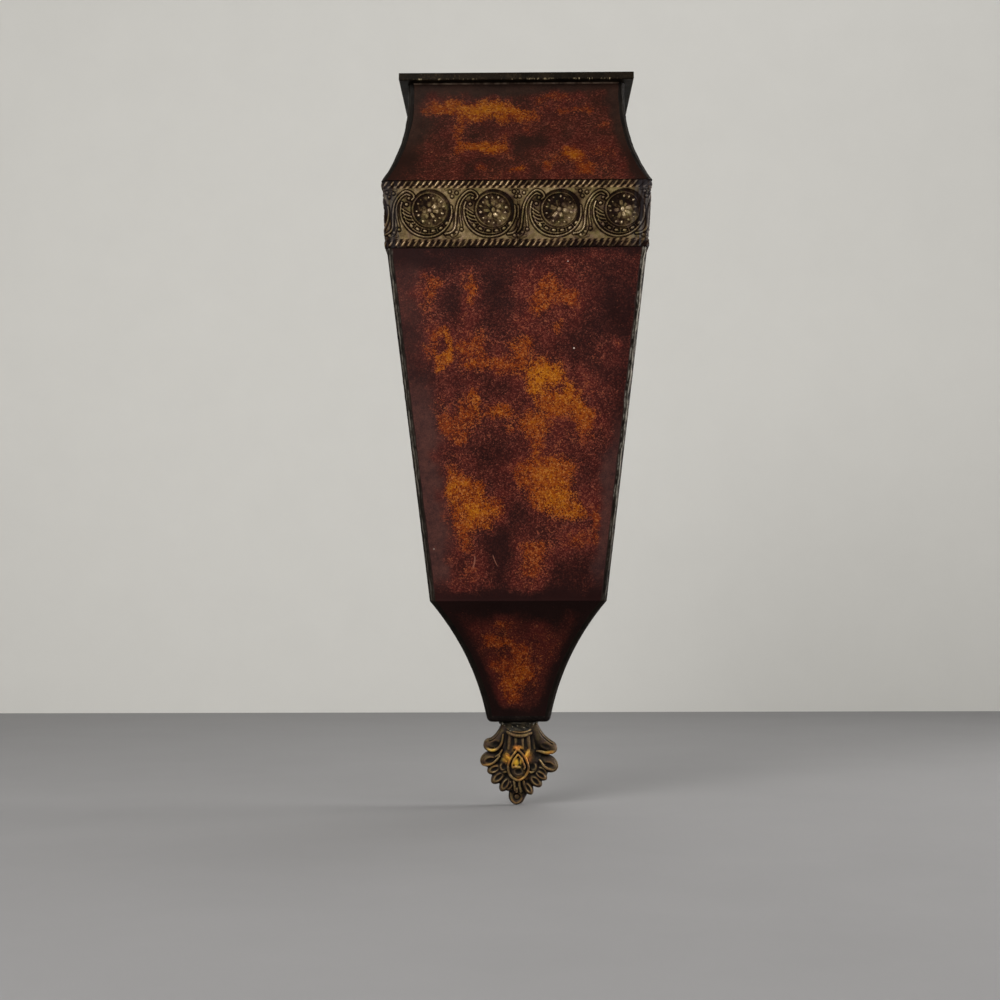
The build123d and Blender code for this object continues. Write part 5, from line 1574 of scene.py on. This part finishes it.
def carve_finial():
    g = Carving(0.4)

    def core(x, v, h):
        a, b = core_half(h)
        q = np.sqrt((x / a) ** 2 + (v / b) ** 2)
        d = (q - 1.0) * np.minimum(a, b) * 0.92
        return np.maximum(np.maximum(d, h - 57.0), 1.2 - h).astype(np.float32)

    g.join(core, (-30, 0, -1), (30, 19, 60), 0.5)
    # upper leaves: swept out from under the collar, dished, curled at the ends
    upper_left = [(-10.0, 6, 58, 3.6), (-11.4, 6, 53.5, 4.4), (-14.2, 5.8, 49.0, 4.9), (-18.2, 5.4, 45.8, 4.7), (-22.0, 5.0, 44.7, 4.5)]
    upper_right = [(11.0, 6, 58, 3.8), (12.8, 6, 53.0, 4.6), (16.0, 5.8, 48.2, 4.9), (20.4, 5.4, 44.6, 4.8), (24.2, 5.0, 42.4, 4.5)]
    g.cord(upper_left, 2.4)
    g.cord(upper_right, 2.4)
    for leaf in (upper_left, upper_right):
        g.cord([(0.88 * x, 0.6, h, 0.78 * r) for x, v, h, r in leaf], 1.4)
    g.veins(upper_left, -1, (-0.55, 0.15, 0.8))
    g.veins(upper_right, 1, (-0.55, 0.15, 0.8))
    g.egg((-17.8, 11.5, 45.4), (5.6, 2.5, 3.3), -0.35, 0.8, True)
    g.egg((21.2, 11.4, 43.2), (5.6, 2.3, 2.8), -0.35, 0.8, True)
    g.cord([(-11.6, 11.2, 53.0, 0.55), (-12.6, 10.9, 47.0, 0.75), (-14.8, 10.2, 43.4, 0.9), (-17.7, 9.8, 41.5, 1.1), (-20.8, 9.4, 41.2, 1.15), (-23.6, 8.2, 42.8, 0.95), (-24.6, 7.0, 45.6, 0.8), (-23.4, 7.2, 47.8, 0.7)], 0.55)
    g.cord([(13.4, 10.6, 40.6, 0.7), (16.8, 10.0, 40.2, 1.0), (19.9, 9.8, 39.3, 1.15), (23.0, 9.2, 39.3, 1.2), (26.2, 7.8, 41.2, 1.0), (27.4, 6.6, 43.6, 0.8)], 0.55)
    # second leaves, below and outside the first
    g.egg((-21.0, 4.6, 34.2), (8.2, 5.4, 5.6), 0.25, 1.6)
    g.egg((21.4, 4.6, 30.8), (8.6, 5.4, 6.0), -0.45, 1.6)
    g.egg((-18.8, 0.4, 34.4), (7.4, 3.4, 4.4), 0.25, 1.2)
    g.egg((19.2, 0.4, 31.4), (7.6, 3.4, 4.8), -0.45, 1.2)
    g.hoops((-21.0, 4.6, 34.2), (8.2, 5.4, 5.6), 0.25, 2.1, 4.2, (-0.45, 0.05, 0.5))
    g.hoops((21.4, 4.6, 30.8), (8.6, 5.4, 6.0), -0.45, 1.0, -1.1, (-0.45, 0.05, 0.5))
    g.egg((-22.0, 10.7, 33.3), (5.4, 2.3, 2.5), 0.25, 0.5, True)
    g.egg((22.6, 10.7, 29.9), (4.8, 2.2, 2.3), -0.3, 0.5, True)
    g.cord([(-14.2, 11.4, 37.0, 0.6), (-16.2, 10.6, 34.6, 0.75), (-19.0, 9.9, 31.9, 0.85), (-23.0, 8.9, 30.3, 0.9), (-26.6, 7.0, 30.4, 0.85), (-27.6, 6.0, 32.4, 0.75), (-26.6, 6.8, 34.3, 0.7), (-22.6, 8.8, 35.9, 0.55)], 0.45)
    g.cord([(15.4, 11.2, 34.4, 0.6), (16.9, 10.8, 32.3, 0.7), (18.7, 10.2, 29.4, 0.85), (21.6, 9.5, 27.4, 0.9), (25.4, 8.0, 26.9, 0.9), (27.4, 6.4, 28.5, 0.85), (26.4, 7.2, 30.6, 0.75), (23.0, 8.8, 32.4, 0.6)], 0.45)
    g.cord([(-12.4, 11.6, 41.6, 0.6), (-14.4, 11.2, 38.4, 0.7), (-17.4, 10.2, 36.6, 0.5)], 0.4)
    g.cord([(13.0, 11.6, 39.0, 0.7), (14.4, 11.2, 36.4, 0.6)], 0.4, False)
    # fans of overlapping leaves below
    for root, tip, width, deep, a, b in (
        ((-12.6, 29.8), (-22.4, 25.2), 4.1, 4.6, 7.6, 3.6),
        ((-9.8, 26.0), (-19.4, 17.6), 4.3, 5.0, 7.8, 3.4),
        ((-6.4, 22.4), (-12.9, 11.7), 4.0, 4.8, 7.4, 3.2),
        ((-4.6, 19.4), (-8.4, 12.0), 2.6, 4.4, 6.8, 3.6),
        ((12.6, 29.2), (20.0, 23.6), 3.7, 4.5, 7.4, 3.6),
        ((10.8, 26.6), (19.8, 20.0), 3.7, 4.9, 7.8, 3.6),
        ((7.2, 23.2), (15.8, 15.0), 4.2, 5.1, 7.8, 3.4),
        ((3.8, 18.6), (9.1, 9.2), 3.6, 5.0, 7.0, 3.0),
    ):
        g.leaf(root, tip, width, deep, a, b, 0.46)
    # pointed lobe at the tip, on a fluted stem
    g.egg((-1.9, 0.6, 6.8), (5.9, 4.7, 6.6), 0.05, 0.9)
    g.egg((-1.9, 5.4, 6.4), (3.2, 1.9, 3.3), 0.0, 0.5, True)
    g.cord([(-6.0, 3.6, 9.0, 0.7), (-5.6, 4.0, 5.2, 0.75), (-4.4, 4.0, 3.0, 0.8), (-2.2, 3.8, 1.9, 0.85), (0.3, 4.0, 3.0, 0.8), (1.7, 4.0, 5.4, 0.75), (2.2, 3.6, 9.0, 0.7)], 0.4)
    g.egg((-1.6, 4.3, 6.2), (1.8, 1.0, 1.7), 0.0, 0.4)
    for line in (
        [(-6.6, 17.8), (-6.0, 12.4)], [(-3.7, 18.4), (-3.3, 14.8), (-2.8, 11.6)], [(0.2, 18.2), (0.4, 14.6), (1.5, 10.6)],
        [(3.4, 18.0), (4.2, 13.8)], [(-1.6, 12.6), (-1.8, 10.4)],
    ):
        g.cord([(x, on_core(x, h, 0.5), h, 0.85) for x, h in line], 0.4)
    # teardrop cabochon in a raised frame, with gilt flanks and a scallop each side
    g.egg((-0.5, 10.0, 28.8), (7.0, 4.5, 9.6), 0.0, 1.0)
    g.egg((-8.0, 11.4, 36.2), (1.9, 2.4, 3.2), 0.6, 0.8)
    g.egg((5.9, 12.0, 37.8), (1.8, 2.4, 4.4), -0.38, 0.8)
    g.egg((-0.9, 12.4, 43.2), (3.2, 1.9, 1.9), 0.0, 0.8)
    outline = [(-0.9, 42.4), (-3.2, 39.4), (-5.6, 36.0), (-7.4, 32.4), (-8.0, 28.6), (-7.2, 24.4), (-4.4, 20.9), (-0.6, 19.3), (3.0, 20.8), (5.8, 24.0), (7.1, 28.4), (6.3, 32.8), (4.4, 36.6), (1.4, 40.0), (-0.9, 42.4)]
    g.cord([(x, on_core(x, h, 1.3 if h > 22 else 1.7), h, 0.85) for x, h in outline], 0.35)
    inner = [(-0.6, 38.6), (-3.0, 35.4), (-4.9, 31.2), (-4.6, 28.8)]
    g.cord([(x, on_core(x, h, 1.9), h, 0.65) for x, h in inner], 0.35)
    inner = [(-0.6, 38.6), (1.6, 36.0), (3.2, 32.8), (4.4, 29.6), (4.0, 27.8)]
    g.cord([(x, on_core(x, h, 1.9), h, 0.65) for x, h in inner], 0.35)
    g.egg((-0.4, 15.8, 25.6), (4.3, 2.6, 3.0), 0.0, 0.4, True)
    g.cord([(-4.4, 14.3, 28.9, 0.6), (-2.4, 15.0, 29.5, 0.8), (0.6, 15.0, 29.2, 0.7)], 0.35)
    g.egg((-2.3, 13.7, 33.0), (2.2, 1.9, 3.4), 0.3, 0.5)
    g.egg((1.6, 13.6, 33.6), (1.2, 1.6, 3.4), -0.3, 0.5)
    for x, h, turn in ((-11.8, 28.6, 0.15), (10.6, 28.6, -0.1)):
        v = on_core(x, h)
        g.egg((x, v - 1.9, h), (3.4, 3.2, 4.2), turn, 0.8)
        g.egg((x, v + 1.7, h + 0.8), (2.3, 1.5, 2.9), turn, 0.4, True)
    g.cord([(-14.2, on_core(-14.2, 26.6, 0.9), 26.6, 0.6), (-12.7, on_core(-12.7, 24.9, 1.2), 24.9, 0.7), (-9.5, on_core(-9.5, 25.4, 1.3), 25.4, 0.65)], 0.35)
    g.cord([(8.0, on_core(8.0, 25.6, 1.3), 25.6, 0.65), (9.4, on_core(9.4, 25.0, 1.3), 25.0, 0.7), (12.0, on_core(12.0, 26.2, 1.0), 26.2, 0.6)], 0.35)
    # flutes under the collar, and the collar's drooping lip
    for x, wide in ((-10.2, 1.1), (-6.9, 1.5), (-2.4, 1.0), (2.6, 1.0), (7.0, 1.6), (10.4, 1.1)):
        g.cord([(x * 0.92, on_core(x * 0.9, 53, -0.1), 53.5, wide), (x, on_core(x, 47.5, 0.0), 47.5, wide), (x * 1.1, on_core(x * 1.1, 42.5, -0.2), 42.5, 0.6 * wide)], 0.9)
    ring = []
    for a in np.linspace(-6, 186, 25):
        c, s = math.cos(math.radians(a)), math.sin(math.radians(a))
        ring.append((13.0 * c + 0.2, 13.2 * s, 56.9 - 4.9 * max(s, 0) ** 2 - 0.5 * c, 1.3))
    g.cord(ring, 0.5, False)
    ring = [(x * 0.985, v * 0.985, h + 2.4, 0.8) for x, v, h, _ in ring]
    g.cord(ring, 0.4, False)
    return g


def settle(f):
    """Fills the cells where the surface would pinch to an edge or a point, so that the net is one clean skin."""
    for _ in range(20):
        inside = f < 0
        fill = np.zeros(f.shape, bool)
        ends = (slice(0, -1), slice(1, None))
        for b, c in ((0, 1), (1, 2), (0, 2)):
            side = {}
            for i in (0, 1):
                for j in (0, 1):
                    cut = [slice(None)] * 3
                    cut[b], cut[c] = ends[i], ends[j]
                    side[i, j] = tuple(cut)
            a00, a11, a01, a10 = (inside[side[k]] for k in ((0, 0), (1, 1), (0, 1), (1, 0)))
            pinched = (a00 == a11) & (a01 == a10) & (a00 != a01)
            for cut in side.values():
                fill[cut] |= pinched
        cells = {(i, j, k): (ends[i], ends[j], ends[k]) for i in (0, 1) for j in (0, 1) for k in (0, 1)}
        total = sum(inside[cut].astype(np.int8) for cut in cells.values())
        for o, cut in cells.items():
            far = inside[cells[1 - o[0], 1 - o[1], 1 - o[2]]]
            near = inside[cut]
            pinched = ((total == 2) & near & far) | ((total == 6) & ~near & ~far)
            for other in cells.values():
                fill[other] |= pinched
        fill &= ~inside
        if not fill.any():
            break
        f[fill] = -0.04
    return np.where(f < 0, np.minimum(f, -0.03), np.maximum(f, 0.03))


def main_skin(points, quads):
    """Only the largest connected skin: closed hollows inside the casting are dropped."""
    label = np.arange(len(points))
    while True:
        low = label[quads].min(1)
        new = label.copy()
        for corner in range(4):
            np.minimum.at(new, quads[:, corner], low)
        new = new[new]
        if (new == label).all():
            break
        label = new
    names, counts = np.unique(label, return_counts=True)
    keep = label == names[counts.argmax()]
    place = np.cumsum(keep) - 1
    return keep, place[quads[keep[quads[:, 0]]]]


def surface_net(f, axes):
    """Quads on the zero level of a sampled field: one point in each cell that the surface crosses."""
    inside = f < 0
    count = np.zeros(tuple(n - 1 for n in f.shape), np.int8)
    corners = [(a, b, c) for a in (0, 1) for b in (0, 1) for c in (0, 1)]
    view = lambda arr, o: arr[o[0] : arr.shape[0] - 1 + o[0], o[1] : arr.shape[1] - 1 + o[1], o[2] : arr.shape[2] - 1 + o[2]]
    for o in corners:
        count += view(inside, o)
    cells = np.argwhere((count > 0) & (count < 8))
    number = np.full(count.shape, -1, np.int64)
    number[tuple(cells.T)] = np.arange(len(cells))
    at = np.zeros((len(cells), 3))
    hits = np.zeros(len(cells))
    for o in corners:
        for axis in range(3):
            if o[axis]:
                continue
            p = tuple(o[i] + (1 if i == axis else 0) for i in range(3))
            fa, fb = f[tuple((cells + o).T)], f[tuple((cells + p).T)]
            cross = (fa < 0) != (fb < 0)
            u = np.where(cross, fa / np.where(cross, fa - fb, 1.0), 0.0)
            at += np.where(cross[:, None], np.asarray(o) + u[:, None] * np.eye(3)[axis], 0.0)
            hits += cross
    at = cells + at / hits[:, None]
    points = np.stack([axes[i][0] + at[:, i] * (axes[i][1] - axes[i][0]) for i in range(3)], -1)
    quads = []
    for axis in range(3):
        b, c = (axis + 1) % 3, (axis + 2) % 3
        lo = [slice(None)] * 3
        hi = [slice(None)] * 3
        lo[axis], hi[axis] = slice(0, -1), slice(1, None)
        fa, fb = inside[tuple(lo)], inside[tuple(hi)]
        for flip, mask in ((False, fa & ~fb), (True, ~fa & fb)):
            e = np.argwhere(mask)
            e = e[(e[:, b] > 0) & (e[:, c] > 0) & (e[:, b] < f.shape[b] - 1) & (e[:, c] < f.shape[c] - 1)]
            ring = []
            for db, dc in ((-1, -1), (0, -1), (0, 0), (-1, 0)):
                q = e.copy()
                q[:, b] += db
                q[:, c] += dc
                ring.append(number[tuple(q.T)])
            ring = np.stack(ring, -1)
            quads.append(ring[:, ::-1] if flip else ring)
    return points, np.concatenate(quads), cells


def make_finial():
    g = carve_finial()
    half = g.f
    f = np.concatenate([half[:, :0:-1], half], axis=1)
    v = np.concatenate([-g.v[:0:-1], g.v])
    axes = (g.x, v, g.h)
    f[:, :, -1] = np.maximum(f[:, :, -1], 0.2)
    f = settle(f)
    points, quads, cells = surface_net(f, axes)
    keep, quads = main_skin(points, quads)
    points, cells = points[keep], cells[keep]
    tight = np.clip(f, -4.0, 4.0)
    keen = blur(tight, 1, 2) - tight
    bend = blur(tight, 2, 2) - tight
    wide = blur(tight, 6, 2) - tight
    pick = lambda a: a[tuple(cells.T)]
    curve = 0.37 + 1.22 * pick(bend) + 0.16 * pick(wide)
    # rubbed: the sharpest crests, shown pale as rubbed wear and as painted edge highlights
    rubbed = smooth(0.05, 0.12, pick(keen))
    gold = np.zeros(len(points))
    front = np.abs(points[:, 1])
    for x, h, rx, rh, amount in (
        (-2.6, 32.4, 3.0, 3.6, 1.0), (-0.6, 36.6, 2.4, 2.6, 0.8), (2.4, 33.4, 2.2, 4.0, 0.55), (-8.4, 35.6, 3.4, 4.0, 1.0),
        (-3.0, 40.6, 2.2, 2.4, 0.6), (6.4, 37.2, 3.2, 5.0, 1.0), (-0.9, 43.2, 4.0, 2.0, 0.9), (-19.6, 41.2, 5.0, 1.4, 0.6),
        (22.6, 39.4, 5.0, 1.4, 0.66), (2.4, 20.8, 5.0, 1.8, 0.5), (-1.8, 29.2, 3.6, 1.2, 0.7), (-21.0, 30.4, 5.5, 1.4, 0.3),
        (6.6, 24.6, 2.4, 2.4, 0.45),
    ):
        q = ((points[:, 0] - x) / rx) ** 2 + ((points[:, 2] - h) / rh) ** 2
        gold = np.maximum(gold, amount * np.exp(-(q**1.5)) * smooth(5.0, 8.0, front))
    curve = curve + 0.3 * gold
    verts = points + np.array([0.0, AXIS_Y, TIP])
    verts[:, 2] = np.maximum(verts[:, 2], TIP)
    obj = add_piece("finial_casting", verts, [quads], [BRONZE], None, {"curve": np.clip(curve, 0, 1), "gold": gold, "rubbed": rubbed}, None, 180.0)
    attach(obj, "vase")
    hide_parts("finial")
    return obj


def make_collar():
    """Turned collar above the finial, lumpy with solder and wax."""
    profile = [(3.2, COLLAR_BOT), (9.0, COLLAR_BOT), (13.2, COLLAR_BOT), (13.6, -479.2), (13.3, -478.0), (13.2, -476.8), (13.6, -475.6), (14.4, -474.6), (14.8, -473.6), (14.4, -472.7), (11.0, PAN_BOT), (3.2, PAN_BOT)]
    line = []
    for (r0, z0), (r1, z1) in zip(profile[:-1], profile[1:]):
        n = max(2, int(math.hypot(r1 - r0, z1 - z0) / 0.5))
        line += [(r0 + (r1 - r0) * i / n, z0 + (z1 - z0) * i / n) for i in range(n)]
    line.append(profile[-1])
    line = np.array(line[::-1])
    turns = 144
    a = 2 * math.pi * np.arange(turns) / turns
    r, z = line[:, :1], line[:, 1:]
    u, vv = 3.0 + np.cos(a)[None, :] * 3.2 + 0 * r, 6.0 + np.sin(a)[None, :] * 3.2 + z * 0.55
    bumps = fbm(u, vv, 701, 4, 0.6)
    live = smooth(10.0, 13.0, r) * smooth(COLLAR_BOT + 0.1, COLLAR_BOT + 0.8, z) * smooth(PAN_BOT - 0.1, PAN_BOT - 0.8, z)
    rr = r + live * 2.4 * (bumps - 0.5)
    lump = 0.35 + 0.65 * bumps
    # painted glints: spots where lump is raised high enough to show near-white
    for turn, up, wide, tall in ((-0.06, -475.4, 0.10, 0.5), (0.62, -473.9, 0.07, 0.45), (-0.36, -476.2, 0.06, 0.4), (0.3, -476.9, 0.05, 0.35), (-0.95, -474.6, 0.06, 0.5)):
        lump = np.maximum(lump, 1.15 * np.exp(-(((a[None, :] + math.pi) % (2 * math.pi) - math.pi - turn) / wide) ** 2 - ((z - up) / tall) ** 2))
    pts = np.stack([rr * np.sin(a)[None, :], AXIS_Y - rr * np.cos(a)[None, :], z + 0 * rr], -1)
    rows = len(line)
    index = np.arange(rows * turns).reshape(rows, turns)
    wrap = np.concatenate([index, index[:, :1]], 1)
    bore = np.stack([index[-1], index[0], np.roll(index[0], -1), np.roll(index[-1], -1)], -1)
    obj = add_piece(
        "finial_collar_turning", pts.reshape(-1, 3), [grid_quads(wrap), bore], [COLLAR], None,
        {"lump": lump.ravel()}, None, 60.0,
    )
    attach(obj, "vase")
    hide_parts("finial_collar")
    return obj


make_finial()
make_collar()


# ------------------------------------------------------------ CAD pieces that stay, with their finishes
def dress(finish, *names):
    for name in names:
        slots = NODES[name].data.materials
        slots.clear()
        slots.append(finish)


dress(RIM_PAINT, "rim_front", "rim_back", "rim_left", "rim_right")
dress(BLACK_PAINT, "floor_pan")
dress(BACK_PAINT, "back_panel")
dress(ZINC, "hanger_strap", "rivet_upper", "rivet_lower", "finial_screw", "finial_washer")
dress(RING_STEEL, "hanger_ring")


# ------------------------------------------------------------ studio: floor, backdrop, light, camera
def plain(name, colour, spread, scale):
    m = Finish(name)
    tone = m.noise(scale, 4.0, 0.6)
    m.set(
        Base_Color=m.mix(tone, tuple(c * (1 - spread) for c in colour), tuple(c * (1 + spread) for c in colour)),
        Roughness=0.85,
    )
    return m.mat


def slab(name, corners, finish):
    mesh = bpy.data.meshes.new(name)
    mesh.from_pydata(corners, [], [(0, 1, 2, 3)])
    mesh.materials.append(finish)
    obj = bpy.data.objects.new(name, mesh)
    scene.collection.objects.link(obj)
    return obj


FLOOR_Z, WALL_Y = TIP * MM - 0.0002, 1.0
slab(
    "studio_floor",
    [(-4, -4, FLOOR_Z), (4, -4, FLOOR_Z), (4, WALL_Y, FLOOR_Z), (-4, WALL_Y, FLOOR_Z)],
    plain("pale_floor", (0.212, 0.209, 0.212), 0.06, 9.0),
)
slab(
    "studio_backdrop",
    [(-4, WALL_Y, FLOOR_Z), (4, WALL_Y, FLOOR_Z), (4, WALL_Y, 3.0), (-4, WALL_Y, 3.0)],
    plain("pale_backdrop", (0.7, 0.693, 0.662), 0.03, 14.0),
)

world = bpy.data.worlds.new("studio")
scene.world = world
world.use_nodes = True
nodes, links = world.node_tree.nodes, world.node_tree.links
nodes.clear()
out = nodes.new("ShaderNodeOutputWorld")
back = nodes.new("ShaderNodeBackground")
coord = nodes.new("ShaderNodeTexCoord")
split = nodes.new("ShaderNodeSeparateXYZ")
ramp = nodes.new("ShaderNodeValToRGB")
rise = nodes.new("ShaderNodeMapRange")
links.new(coord.outputs["Generated"], split.inputs[0])
links.new(split.outputs["Z"], rise.inputs[0])
rise.inputs[1].default_value, rise.inputs[2].default_value = -0.3, 1.0
links.new(rise.outputs[0], ramp.inputs[0])
ramp.color_ramp.elements[0].position, ramp.color_ramp.elements[0].color = 0.0, (0.061, 0.06, 0.058, 1)
ramp.color_ramp.elements[1].position, ramp.color_ramp.elements[1].color = 1.0, (0.425, 0.42, 0.405, 1)
links.new(ramp.outputs[0], back.inputs["Color"])
links.new(back.outputs[0], out.inputs["Surface"])
scene.view_settings.view_transform = "Standard"


def soft_light(name, at, target, size, watts, colour=(1, 1, 1)):
    lamp = bpy.data.lights.new(name, "AREA")
    lamp.shape = "DISK"
    lamp.size = size
    lamp.energy = watts
    lamp.color = colour
    obj = bpy.data.objects.new(name, lamp)
    obj.location = at
    obj.rotation_mode = "QUATERNION"
    obj.rotation_quaternion = (Vector(target) - Vector(at)).to_track_quat("-Z", "Y")
    obj.visible_camera = False
    scene.collection.objects.link(obj)
    return obj


MIDDLE = (0.0, -0.05, -0.26)
soft_light("key_light", (-0.9, -1.6, 0.62), MIDDLE, 1.3, 36.0, (1.0, 0.985, 0.96))
soft_light("fill_light", (1.5, -1.2, 0.4), MIDDLE, 1.5, 11.0, (1.0, 0.98, 0.95))
soft_light("back_light", (0.6, 0.85, 1.5), MIDDLE, 1.2, 16.0)
soft_light("side_light", (1.9, 0.3, -0.02), MIDDLE, 0.9, 7.5, (1.0, 0.985, 0.96)).data.spread = math.radians(70.0)

camera = bpy.data.cameras.new("camera")
camera.sensor_width, camera.lens = 36.0, 54.0
camera.clip_start, camera.clip_end = 0.01, 50.0
yaw, pitch, roll = (math.radians(a) for a in (0.68248, 4.18703, -0.16912))
ahead = Vector((-math.sin(yaw) * math.cos(pitch), math.cos(yaw) * math.cos(pitch), math.sin(pitch)))
right = Vector((math.cos(yaw), math.sin(yaw), 0.0))
up = right.cross(ahead)
level = right * math.cos(roll) + up * math.sin(roll)
upright = up * math.cos(roll) - right * math.sin(roll)
eye = bpy.data.objects.new("camera", camera)
scene.collection.objects.link(eye)
eye.matrix_world = Matrix(
    (
        (level.x, upright.x, -ahead.x, 0.0),
        (level.y, upright.y, -ahead.y, -1.15383),
        (level.z, upright.z, -ahead.z, -0.389615),
        (0.0, 0.0, 0.0, 1.0),
    )
)
scene.camera = eye

bpy.context.view_layer.update()
